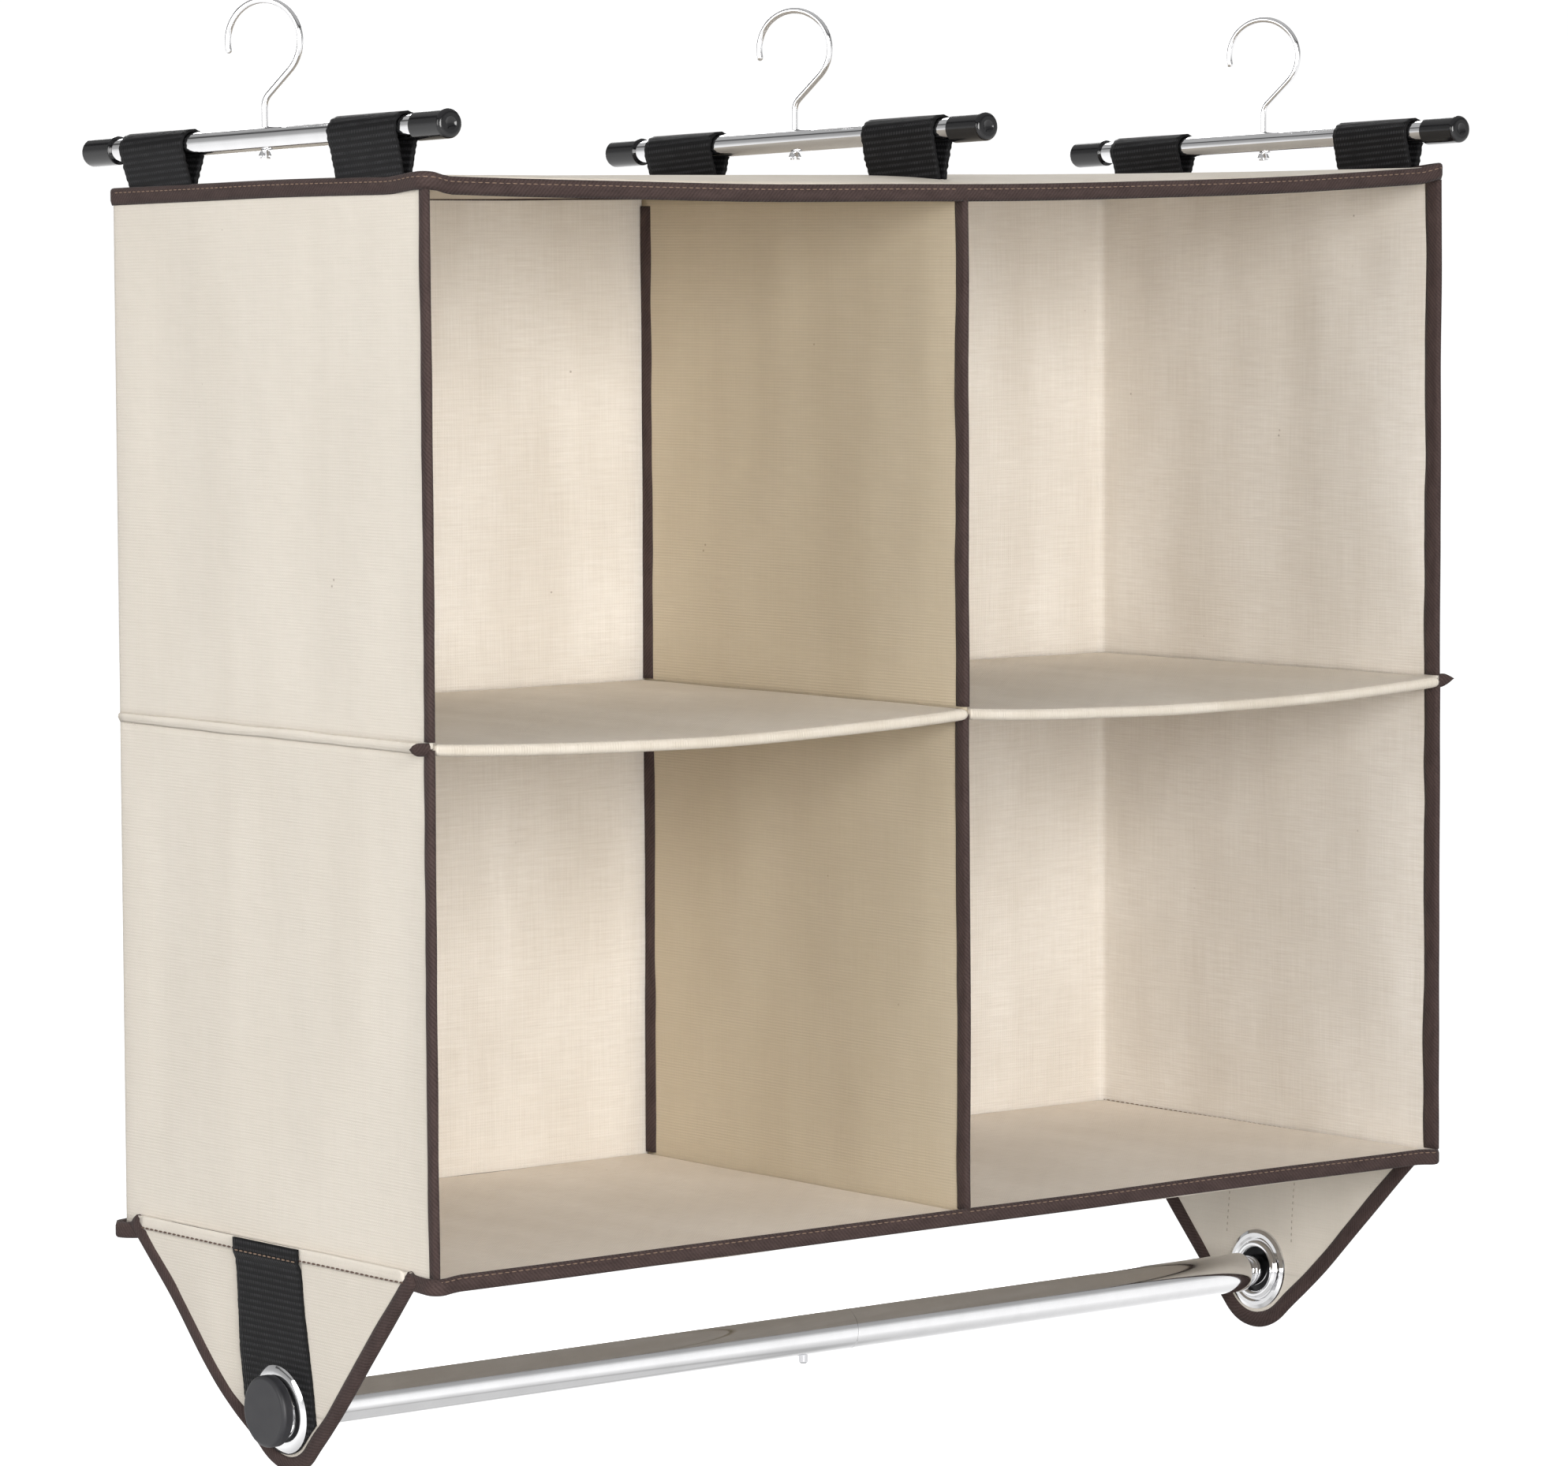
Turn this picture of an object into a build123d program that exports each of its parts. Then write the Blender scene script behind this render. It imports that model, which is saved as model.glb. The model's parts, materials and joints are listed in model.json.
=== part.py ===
from build123d import *
import os
from math import acos, atan2, cos, hypot, radians, sin, tan

# Hanging closet organizer: a fabric case with a divider, two shelves and a floor, all open at the
# front. Webbing loops on top carry three hanger bars with swivel hooks, and two triangular tabs
# below carry a garment rod in two halves.
# Millimetres. +X is to the right seen from the open front, -Y is the front and +Z is up.
# The origin is the centre of the middle hook's seat, where the closet rod passes through.

# ---- driving dimensions -------------------------------------------------------------------------
CASE_WIDTH = 686.0
CASE_DEPTH = 280.0
CASE_HEIGHT = 540.0
SHELF_HEIGHT = 270.0          # shelf surface above the underside of the case
HOOK_TO_BAR = 48.5            # seat centre down to the hanger bar's axis
BAR_TO_CASE = 25.5            # hanger bar's axis down to the top of the case

CLOTH = 1.5                   # canvas wall
SLEEVE = 6.0                  # double canvas panel with a board inside
BOARD = 3.0
BOARD_SLACK = 0.2             # room round a board in its sleeve
TAPE = 1.2                    # one layer of edge binding
TAPE_WIDTH = 8.5
BODY_GAP = 0.3                # between cloth pieces that move apart
TAPE_FOOT = 2.2               # an upright tape stops this far above a shelf
WEBBING = 1.6
WEBBING_WIDTH = 57.0

BAR_RADIUS = 6.0
BAR_WALL = 1.0
BAR_LENGTH = 310.0
BAR_TILT = 2.0                # degrees, front end up
BAR_X = 341.0                 # outer bars, above the side walls
BAR_CAP_RADIUS = 7.4
BAR_CAP_LENGTH = 26.0
STRAP_Y = 93.0                # webbing loops either side of the hook
LOOP_RADIUS = 6.4

WIRE_RADIUS = 1.7
HOOK_RADIUS = 20.5            # centre line of the round seat
HOOK_BEND = 9.0
HOOK_YAW = 27.0               # degrees each hook stands turned about its stem

ROD_DROP = 78.0               # case underside down to the garment rod's axis
ROD_RADIUS = 11.1
ROD_WALL = 1.2
ROD_NECK_RADIUS = 8.9
ROD_NECK_END = 344.0
ROD_SHOULDER = 325.0
SEAM_X = 32.0                 # where the two rod halves meet
SPIGOT_RADIUS = 9.75
SPIGOT_WALL = 0.95
SPIGOT_LENGTH = 50.0
BUTTON_X = 2.0
BUTTON_RADIUS = 2.5
BUTTON_PROUD = 4.6
FLANGE_RISE = 1.9             # top of the button's flange above the spigot's inner wall

TAB_HALF = 123.0              # half width of a tab at the case's underside
TAB_ROUND = 32.0              # round end of a tab, about the garment rod's axis
TAB_HEM = 8.0                 # tab's top edge above the case's underside
TAB_LEAN = 5.5                # degrees each tab hangs inwards below the case
GROMMET_RADIUS = 23.0
GROMMET_BORE = 12.7
ROD_CAP_RADIUS = 18.4
ROD_CAP_THICK = 6.4
ROD_CAP_X = 344.5             # inner face of a cap

# ---- places worked out from them ----------------------------------------------------------------
half_w = CASE_WIDTH / 2
half_d = CASE_DEPTH / 2
bar_z = -HOOK_TO_BAR
top_z = bar_z - BAR_TO_CASE
floor_z = top_z - CASE_HEIGHT
shelf_z = floor_z + SHELF_HEIGHT
split_z = shelf_z - SLEEVE / 2
rod_z = floor_z - ROD_DROP
flange_top = rod_z - SPIGOT_RADIUS + SPIGOT_WALL + FLANGE_RISE
inner_x = half_w - CLOTH
back_y = half_d - CLOTH
tab_in = half_w + TAPE + 0.2
tab_out = tab_in + CLOTH
strap_out = tab_out + WEBBING
fold_z = floor_z - TAPE - BODY_GAP
SIDES = (("left", -1), ("right", 1))
BARS = (("left", -BAR_X), ("middle", 0.0), ("right", BAR_X))

os.makedirs("parts", exist_ok=True)


def save(node, *solids):
    """Writes one node's STEP from its separate solids."""
    shape = solids[0] if len(solids) == 1 else Compound(children=list(solids))
    export_step(shape, f"parts/{node}.step")


def block(x, y, z):
    """A box from three (low, high) pairs."""
    size = [abs(b - a) for a, b in (x, y, z)]
    centre = [(a + b) / 2 for a, b in (x, y, z)]
    return Pos(*centre) * Box(*size)


def mirrored(x, side):
    """An (inner, outer) pair of distances from the centre, as x on that side, low value first."""
    return tuple(sorted((side * x[0], side * x[1])))


def turned(points, height=0.0):
    """Revolves a closed outline of (x, radius) points about a line along X at the given height."""
    outline = [Vector(x, 0, r) for x, r in points]
    face = make_face(Polyline(*outline, close=True))
    return Pos(0, 0, height) * revolve(face, Axis.X)


# ---- case ---------------------------------------------------------------------------------------
def sleeve_and_board(name, x, y, z_low):
    """A canvas sleeve with a closed pocket, and the stiff board that fills it."""
    wall = (SLEEVE - BOARD) / 2
    z = (z_low, z_low + SLEEVE)
    pocket = block((x[0] + wall, x[1] - wall), (y[0] + wall, y[1] - wall), (z[0] + wall - 0.1, z[1] - wall + 0.1))
    inset = wall + BOARD_SLACK
    board = block((x[0] + inset, x[1] - inset), (y[0] + inset, y[1] - inset), (z[0] + wall, z[1] - wall))
    save(f"{name}_sleeve", block(x, y, z) - pocket)
    save(f"{name}_board", board)


def walls(level, z):
    """Side walls, back and divider of one level, between two heights."""
    for name, side in SIDES:
        save(f"{name}_side_{level}", block(mirrored((inner_x, half_w), side), (-half_d, back_y), z))
    save(f"back_{level}", block((-half_w, half_w), (back_y, half_d), z))


def divider(level, z):
    """The upright between the left and right cells."""
    save(f"divider_{level}", block((-CLOTH / 2, CLOTH / 2), (-half_d, back_y - TAPE), z))


def edge_bindings(level, z):
    """Folded tapes round the front edges of the side walls and both edges of the divider."""
    front = (-half_d - TAPE, -half_d + TAPE_WIDTH)
    for name, side in SIDES:
        tape = block(mirrored((inner_x - TAPE, half_w + TAPE), side), front, z)
        cloth = block(mirrored((inner_x, half_w), side), (-half_d, half_d), z)
        save(f"{name}_front_binding_{level}", tape - cloth)
    across = (-CLOTH / 2 - TAPE, CLOTH / 2 + TAPE)
    cloth = block((-CLOTH / 2, CLOTH / 2), (-half_d, back_y - TAPE), z)
    save(f"divider_front_binding_{level}", block(across, front, z) - cloth)
    save(f"divider_rear_binding_{level}", block(across, (back_y - TAPE_WIDTH, back_y), z) - cloth)


def rim_binding(name, z, lip_z):
    """A tape round the whole rim of the case, with a lip over its edge."""
    out_w, out_d = half_w + TAPE, half_d + TAPE
    ring = block((-out_w, out_w), (-out_d, out_d), z) - block((-half_w, half_w), (-half_d, half_d), z)
    lip_w, lip_d = half_w - TAPE_WIDTH, half_d - TAPE_WIDTH
    lip = block((-out_w, out_w), (-out_d, out_d), lip_z) - block((-lip_w, lip_w), (-lip_d, lip_d), lip_z)
    save(name, ring + lip)


def shelf_seam():
    """The seam that carries the shelves round the outside of the case, and its two taped ends."""
    z = (split_z - SLEEVE / 2, split_z + SLEEVE / 2)
    near, far = half_w + BODY_GAP, half_w + 3.0
    runs = [block(mirrored((near, far), side), (-half_d + TAPE_WIDTH + 1, half_d), z) for _, side in SIDES]
    runs.append(block((-half_w, half_w), (half_d + BODY_GAP, half_d + 3.0), z))
    save("shelf_seam_welts", *runs)
    reach = (half_w + TAPE + BODY_GAP, half_w + 10.0)
    ends = [block(mirrored(reach, side), (-half_d, -half_d + TAPE_WIDTH), (z[0] + 0.5, z[1] - 0.5)) for _, side in SIDES]
    save("shelf_tape_ends", *[fillet(e.edges().filter_by(Axis.Y), 2.0) for e in ends])


# ---- hanger bars, loops and hooks ---------------------------------------------------------------
def on_bar(x):
    """The place of a hanger bar: local X along the bar towards the front, local Z across it."""
    return Pos(x, 0, bar_z) * Rot(0, 0, -90) * Rot(0, -BAR_TILT, 0)


def hanger_bar(x):
    """A tube with the hook's hole straight down through its middle."""
    half = BAR_LENGTH / 2
    bore = BAR_RADIUS - BAR_WALL
    tube = turned([(-half, bore), (half, bore), (half, BAR_RADIUS), (-half, BAR_RADIUS)])
    hole = Pos(x, 0, bar_z) * Cylinder(WIRE_RADIUS + 0.1, 4 * BAR_RADIUS)
    return on_bar(x) * tube - hole


def bar_cap(x, end):
    """A moulded cap on one end of a bar, with a dimple in its face."""
    inner, outer = BAR_LENGTH / 2 + 0.5, BAR_LENGTH / 2 + 3.5
    start = outer - BAR_CAP_LENGTH
    cup = turned([(start, BAR_RADIUS + 0.05), (inner, BAR_RADIUS + 0.05), (inner, 0), (outer, 0),
                  (outer, BAR_CAP_RADIUS), (start, BAR_CAP_RADIUS)])
    rims = cup.edges().filter_by(GeomType.CIRCLE).filter_by(lambda e: abs(e.radius - BAR_CAP_RADIUS) < 0.01)
    cup = fillet(rims.sort_by(Axis.X)[-1], 2.4)
    cup = fillet(cup.edges().filter_by(GeomType.CIRCLE).sort_by(Axis.X)[:2].sort_by(SortBy.RADIUS)[-1], 0.6)
    dimple = Pos(outer + 5.2, 0, 0) * Sphere(6.2)
    return on_bar(x) * Rot(0, 0, 0 if end > 0 else 180) * (cup - dimple)


def loop_face(radius, foot, foot_z):
    """A teardrop: a round top about the bar, with straight sides closing on a narrow foot."""
    left, right = Vector(-foot, foot_z), Vector(foot, foot_z)
    reach = Vector(radius, 0).rotate(Axis.Z, -8)
    sides = [Vector(-reach.X, reach.Y), Vector(reach.X, reach.Y)]
    arc = ThreePointArc(sides[0], Vector(0, radius), sides[1])
    return make_face([Line(left, sides[0]), arc, Line(sides[1], right), Line(right, left)])


def webbing_loop(x, y, foot_z):
    """A webbing loop that hangs on a bar, cut level where it is sewn to the case."""
    deep = -2 * BAR_TO_CASE
    outer = loop_face(LOOP_RADIUS + WEBBING, WEBBING, foot_z - bar_z - 6.0)
    inner = loop_face(LOOP_RADIUS, 0.15, foot_z - bar_z + 1.5)
    section = Plane(origin=(0, 0, 0), x_dir=(1, 0, 0), z_dir=(0, -1, 0))
    band = extrude(section * outer, WEBBING_WIDTH / 2, both=True) - extrude(section * inner, WEBBING_WIDTH, both=True)
    band = Pos(x, 0, bar_z) * Rot(-BAR_TILT, 0, 0) * Pos(0, y, 0) * band
    below = block((x - 30, x + 30), (y - 60, y + 60), (foot_z + deep, foot_z))
    return band - below


def hook_wire(x):
    """Round wire: up through the bar, bent forward, then round the closet rod to a rounded tip."""
    join = HOOK_RADIUS * cos(radians(45))
    foot = bar_z - BAR_RADIUS - 3.2
    corner = -HOOK_RADIUS / cos(radians(45))
    cut = HOOK_BEND * tan(radians(22.5))
    start = Vector(0, 0, foot)
    bend_in = Vector(0, 0, corner - cut)
    bend_out = Vector(0, -cut * sin(radians(45)), corner + cut * cos(radians(45)))
    seat_in = Vector(0, -join, -join)
    tip = Vector(0, HOOK_RADIUS * cos(radians(12)), -HOOK_RADIUS * sin(radians(12)))
    bend_mid = Vector(0, -HOOK_BEND * (1 - cos(radians(22.5))), corner - cut + HOOK_BEND * sin(radians(22.5)))
    path = Wire([
        Edge.make_line(start, bend_in),
        Edge.make_three_point_arc(bend_in, bend_mid, bend_out),
        Edge.make_line(bend_out, seat_in),
        Edge.make_three_point_arc(seat_in, Vector(0, 0, HOOK_RADIUS), tip),
    ])
    wire = sweep(Plane(origin=start, z_dir=(0, 0, 1)) * Circle(WIRE_RADIUS), path)
    wire += Pos(*tip) * Sphere(WIRE_RADIUS)
    head = Pos(0, 0, foot - 0.5) * Cylinder(2.7, 1.0)
    wire += fillet(head.edges().filter_by(GeomType.CIRCLE), 0.4)
    return Pos(x, 0, 0) * Rot(0, 0, HOOK_YAW) * wire


def hook_collar(x):
    """The spread washer on the wire's foot, below the bar."""
    top = bar_z - BAR_RADIUS - 0.3
    ring = Pos(x, 0, top - 1.2) * Cone(3.6, 2.4, 2.4)
    return ring - Pos(x, 0, top) * Cylinder(WIRE_RADIUS + 0.05, 12)


# ---- tabs and garment rod -----------------------------------------------------------------------
def tab_outline(offset, top):
    """The tab's V with a round end about the rod, grown by offset, up to a level edge top above the floor."""
    lean = atan2(ROD_DROP, TAB_HALF) - acos(TAB_ROUND / hypot(ROD_DROP, TAB_HALF))
    radius = TAB_ROUND + offset
    touch_y, touch_z = radius * cos(lean), radius * sin(lean)
    rise = top + ROD_DROP - touch_z
    corner_y = touch_y - rise * tan(lean)
    corners = [Vector(0, side * corner_y, rod_z + touch_z + rise) for side in (1, -1)]
    touches = [Vector(0, side * touch_y, rod_z + touch_z) for side in (1, -1)]
    low = Vector(0, 0, rod_z - radius)
    edges = [
        Edge.make_line(corners[0], touches[0]),
        Edge.make_three_point_arc(touches[0], low, touches[1]),
        Edge.make_line(touches[1], corners[1]),
        Edge.make_line(corners[1], corners[0]),
    ]
    return Face(Wire(edges))


def tab_slab(offset, top, x, side):
    """The tab's outline as a slab between two distances from the centre."""
    slab = extrude(tab_outline(offset, top), abs(x[1] - x[0]), dir=(1, 0, 0))
    return Pos(mirrored(x, side)[0], 0, 0) * slab


def hung(shape, side):
    """The shape leant inwards about the tab's fold, just under the case."""
    fold = Pos(side * tab_in, 0, fold_z)
    return fold * Rot(0, side * TAB_LEAN, 0) * fold.inverse() * shape


def folded(shape, side):
    """The shape with its part below the fold leant inwards."""
    reach = (-2 * half_w, 2 * half_w)
    above = shape & block(reach, reach, (fold_z - 0.6, top_z))
    below = shape & block(reach, reach, (2 * rod_z, fold_z))
    return above + hung(below, side)


def eyelet_hole(side):
    """Where the grommet's barrel passes through the cloth."""
    return Pos(side * tab_out, 0, rod_z) * Rot(0, 90, 0) * Cylinder(GROMMET_BORE + 1.1, 20)


def tab(side):
    return folded(tab_slab(0, TAB_HEM, (tab_in, tab_out), side) - eyelet_hole(side), side)


def tab_strap(side):
    """Webbing sewn down the outside of the tab, from its hem to the binding."""
    reach = tab_slab(-TAPE_WIDTH - 0.3, TAB_HEM, (tab_out, strap_out), side)
    strip = block(mirrored((tab_out, strap_out), side), (-WEBBING_WIDTH / 2, WEBBING_WIDTH / 2),
                  (rod_z - TAB_ROUND, floor_z + TAB_HEM))
    return folded((reach & strip) - eyelet_hole(side), side) - tab(side)


def tab_binding(side):
    """A folded tape round the tab's free edge."""
    thick = (tab_in - TAPE, tab_out + TAPE)
    top = -TAPE - BODY_GAP
    past = (thick[0] - 1, thick[1] + 1)
    tape = tab_slab(TAPE, top, thick, side) - tab_slab(-TAPE_WIDTH, top + 1, past, side)
    return hung(tape - tab_slab(0, TAB_HEM, (tab_in, tab_out), side), side) - tab(side)


def grommet(side):
    """The eyelet, with a domed flange outside and a lip rolled over the washer inside."""
    flange, lip = strap_out, tab_in - 1.4
    points = [
        Vector(flange, 0, GROMMET_RADIUS), Vector(flange + 1.6, 0, 20.6), Vector(flange + 2.2, 0, 18.4),
        Vector(flange + 1.5, 0, 14.6), Vector(flange - 1.2, 0, GROMMET_BORE),
        Vector(lip - 0.2, 0, GROMMET_BORE), Vector(lip - 1.9, 0, 14.6), Vector(lip, 0, 16.6),
        Vector(lip, 0, GROMMET_BORE + 0.9), Vector(flange, 0, GROMMET_BORE + 0.9),
    ]
    edges = [
        Edge.make_three_point_arc(points[0], points[1], points[2]),
        Edge.make_three_point_arc(points[2], points[3], points[4]),
        Edge.make_line(points[4], points[5]),
        Edge.make_three_point_arc(points[5], points[6], points[7]),
        Edge.make_line(points[7], points[8]),
        Edge.make_line(points[8], points[9]),
        Edge.make_line(points[9], points[0]),
    ]
    ring = revolve(Face(Wire(edges)), Axis.X)
    return hung(Pos(0, 0, rod_z) * Rot(0, 0, 0 if side > 0 else 180) * ring, side)


def grommet_washer(side):
    """The dished washer clamped on the inner face of the tab."""
    lip = tab_in - 1.4
    ring = turned([(tab_in, GROMMET_BORE + 1.0), (lip, GROMMET_BORE + 1.0), (lip, 17.4), (lip - 0.7, 18.6),
                   (lip - 0.7, 20.6), (lip + 0.4, GROMMET_RADIUS - 0.4), (tab_in, GROMMET_RADIUS)])
    return hung(Pos(0, 0, rod_z) * Rot(0, 0, 0 if side > 0 else 180) * ring, side)


def rod_end(outer_r, inner_r, neck_r, neck_in):
    """Outline points of a rod half's outer end: a rounded shoulder down to a narrow neck."""
    drop = outer_r - neck_r
    curve = [(ROD_SHOULDER - drop * (1 - sin(radians(a))), neck_r + drop * cos(radians(a)))
             for a in (0, 22.5, 45, 67.5, 90)]
    outside = curve + [(ROD_NECK_END, neck_r)]
    inside = [(ROD_NECK_END, neck_in), (ROD_SHOULDER - 1.0, neck_in), (ROD_SHOULDER - 3.0, inner_r)]
    return outside + inside


def button_hole(radius, depth):
    """A hole through the rod's underside for the snap button."""
    return Pos(BUTTON_X, 0, rod_z - depth) * Cylinder(radius, 8)


def rod_tube_left():
    """The socket half, from the left neck to the seam."""
    inner_r = ROD_RADIUS - ROD_WALL
    end = rod_end(ROD_RADIUS, inner_r, ROD_NECK_RADIUS, ROD_NECK_RADIUS - 1.0)
    points = [(-x, r) for x, r in end]
    points += [(SEAM_X - 0.05, inner_r), (SEAM_X - 0.05, ROD_RADIUS - 0.35), (SEAM_X - 0.4, ROD_RADIUS)]
    return turned(points, rod_z) - button_hole(BUTTON_RADIUS + 0.25, ROD_RADIUS)


def rod_tube_right():
    """The spigot half: its swaged end slides into the left half."""
    inner_r = ROD_RADIUS - ROD_WALL
    spigot_in = SPIGOT_RADIUS - SPIGOT_WALL
    tip = SEAM_X - SPIGOT_LENGTH
    points = rod_end(ROD_RADIUS, inner_r, ROD_NECK_RADIUS, ROD_NECK_RADIUS - 1.0)
    points += [(SEAM_X + 3.0, inner_r), (SEAM_X + 1.0, spigot_in), (tip, spigot_in), (tip, SPIGOT_RADIUS - 0.6),
               (tip + 0.8, SPIGOT_RADIUS), (SEAM_X + 0.05, SPIGOT_RADIUS), (SEAM_X + 0.05, ROD_RADIUS - 0.35),
               (SEAM_X + 0.4, ROD_RADIUS)]
    return turned(points, rod_z) - button_hole(BUTTON_RADIUS + 0.25, ROD_RADIUS - 1.0)


def rod_cap(side):
    """The end cap: a round button outside the grommet, with a stem held in the rod's neck."""
    inner = ROD_CAP_X
    outer = inner + ROD_CAP_THICK
    stem_r = ROD_NECK_RADIUS - 1.05
    stem_x = ROD_SHOULDER - 0.9
    cap = turned([(stem_x, 0), (outer, 0), (outer, ROD_CAP_RADIUS), (inner, ROD_CAP_RADIUS),
                  (inner, stem_r), (stem_x, stem_r)])
    for end, soften in ((-1, 2.2), (0, 1.0)):
        rims = cap.edges().filter_by(GeomType.CIRCLE).filter_by(lambda e: abs(e.radius - ROD_CAP_RADIUS) < 0.01)
        cap = fillet(rims.sort_by(Axis.X)[end], soften)
    return Pos(0, 0, rod_z) * Rot(0, 0, 0 if side > 0 else 180) * cap


def snap_button():
    """The pin that locks the rod halves, with a flange that stops it inside the spigot."""
    tip = rod_z - ROD_RADIUS - BUTTON_PROUD
    pin = Pos(BUTTON_X, 0, (flange_top + tip) / 2) * Cylinder(BUTTON_RADIUS, flange_top - tip)
    pin = fillet(pin.edges().sort_by(Axis.Z)[0], 1.3)
    return pin + Pos(BUTTON_X, 0, flange_top - 0.3) * Cylinder(BUTTON_RADIUS + 0.9, 0.6)


def snap_spring():
    """A bent leaf inside the spigot that pushes the button out."""
    high = rod_z + SPIGOT_RADIUS - SPIGOT_WALL - 0.9
    thick, width = 0.5, 5.0
    bend_x = SEAM_X - SPIGOT_LENGTH + 4.0
    below = [(BUTTON_X + 5, flange_top), (BUTTON_X - 5, flange_top), (bend_x, rod_z - 2), (bend_x, rod_z + 2),
             (BUTTON_X + 8, high)]
    above = [(BUTTON_X + 5, flange_top + thick), (BUTTON_X - 5, flange_top + thick),
             (bend_x + thick, rod_z - 2), (bend_x + thick, rod_z + 2), (BUTTON_X + 8, high - thick)]
    outline = [Vector(x, 0, z) for x, z in below + above[::-1]]
    return extrude(make_face(Polyline(*outline, close=True)), width / 2, both=True)


# ---- write every node ---------------------------------------------------------------------------
upper = (split_z + BODY_GAP / 2, top_z)
lower = (floor_z, split_z - BODY_GAP / 2)
walls("upper", upper)
walls("lower", lower)
divider("upper", (split_z + BODY_GAP / 2, top_z - SLEEVE))
divider("lower", (floor_z + SLEEVE, split_z - BODY_GAP / 2))
edge_bindings("upper", (shelf_z + TAPE_FOOT, top_z - TAPE_WIDTH - BODY_GAP))
edge_bindings("lower", (floor_z + SLEEVE + TAPE_FOOT, shelf_z - SLEEVE - BODY_GAP))

sleeve_and_board("top", (-inner_x, inner_x), (-half_d, back_y), top_z - SLEEVE)
edge = CLOTH / 2 + BODY_GAP
for name, side in SIDES:
    span = mirrored((edge, inner_x - BODY_GAP), side)
    sleeve_and_board(f"shelf_{name}", span, (-half_d, back_y - BODY_GAP), shelf_z - SLEEVE)
    sleeve_and_board(f"floor_{name}", span, (-half_d, back_y - BODY_GAP), floor_z)
shelf_seam()
rim_binding("top_binding", (top_z - TAPE_WIDTH, top_z), (top_z, top_z + TAPE))
rim_binding("floor_binding", (floor_z, floor_z + TAPE_WIDTH - 1.0), (floor_z - TAPE, floor_z))

for name, x in BARS:
    foot_z = top_z if name == "middle" else top_z + TAPE
    for where, y in (("front", -STRAP_Y), ("rear", STRAP_Y)):
        save(f"loop_{name}_{where}", webbing_loop(x, y, foot_z))
    save(f"hanger_bar_{name}", hanger_bar(x))
    save(f"bar_caps_{name}", bar_cap(x, 1), bar_cap(x, -1))
    save(f"hook_{name}", hook_wire(x))
    save(f"hook_collar_{name}", hook_collar(x))

for name, side in SIDES:
    save(f"tab_{name}", tab(side))
    save(f"rod_cap_{name}", rod_cap(side))
save("tab_bindings", tab_binding(-1), tab_binding(1))
save("tab_straps", tab_strap(-1), tab_strap(1))
save("grommets", grommet(-1), grommet(1))
save("grommet_washers", grommet_washer(-1), grommet_washer(1))
save("rod_tube_left", rod_tube_left())
save("rod_tube_right", rod_tube_right())
save("snap_button", snap_button())
save("snap_spring", snap_spring())
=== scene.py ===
import json
from math import acos, atan2, ceil, cos, hypot, pi, radians, sin, sqrt, tan

import bmesh
import bpy
from mathutils import Matrix, Vector, noise

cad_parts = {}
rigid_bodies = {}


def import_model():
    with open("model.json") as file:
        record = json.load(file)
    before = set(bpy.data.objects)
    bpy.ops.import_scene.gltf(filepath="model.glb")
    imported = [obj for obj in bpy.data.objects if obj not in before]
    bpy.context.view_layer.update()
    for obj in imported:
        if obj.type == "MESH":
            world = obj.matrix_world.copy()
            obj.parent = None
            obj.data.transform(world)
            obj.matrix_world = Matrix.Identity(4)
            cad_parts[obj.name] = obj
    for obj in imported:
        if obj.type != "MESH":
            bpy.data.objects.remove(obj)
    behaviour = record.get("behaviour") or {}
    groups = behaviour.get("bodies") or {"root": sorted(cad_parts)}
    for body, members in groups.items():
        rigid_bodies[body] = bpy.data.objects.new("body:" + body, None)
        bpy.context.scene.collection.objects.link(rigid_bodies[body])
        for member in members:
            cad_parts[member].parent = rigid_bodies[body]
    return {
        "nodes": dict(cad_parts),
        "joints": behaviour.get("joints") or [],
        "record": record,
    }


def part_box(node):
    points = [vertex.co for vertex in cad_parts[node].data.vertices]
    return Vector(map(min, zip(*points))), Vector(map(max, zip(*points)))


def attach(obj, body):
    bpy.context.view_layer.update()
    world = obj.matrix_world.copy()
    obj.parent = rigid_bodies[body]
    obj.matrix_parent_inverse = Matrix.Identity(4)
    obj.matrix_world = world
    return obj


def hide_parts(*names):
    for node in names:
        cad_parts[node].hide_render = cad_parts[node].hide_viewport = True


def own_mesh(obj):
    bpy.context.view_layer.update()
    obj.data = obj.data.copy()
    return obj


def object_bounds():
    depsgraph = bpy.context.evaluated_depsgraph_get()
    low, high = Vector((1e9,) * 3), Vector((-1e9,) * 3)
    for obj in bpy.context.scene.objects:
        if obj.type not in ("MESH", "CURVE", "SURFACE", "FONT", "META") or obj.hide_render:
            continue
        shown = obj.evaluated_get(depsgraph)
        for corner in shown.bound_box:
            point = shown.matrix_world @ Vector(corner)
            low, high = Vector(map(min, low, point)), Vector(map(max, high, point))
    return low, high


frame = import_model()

cad_bounds = [list(corner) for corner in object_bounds()]

# Looks of a hanging fabric organizer with four open cells. Metres, +Z up, -Y is the open front.
# Cloth, tape and webbing are modelled here; the metal and plastic parts keep their CAD shape.

# ---- places read from the frame ----


def corners(node):
    """A node's lowest and highest corners as vectors."""
    low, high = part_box(node)
    return Vector(low), Vector(high)


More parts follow.
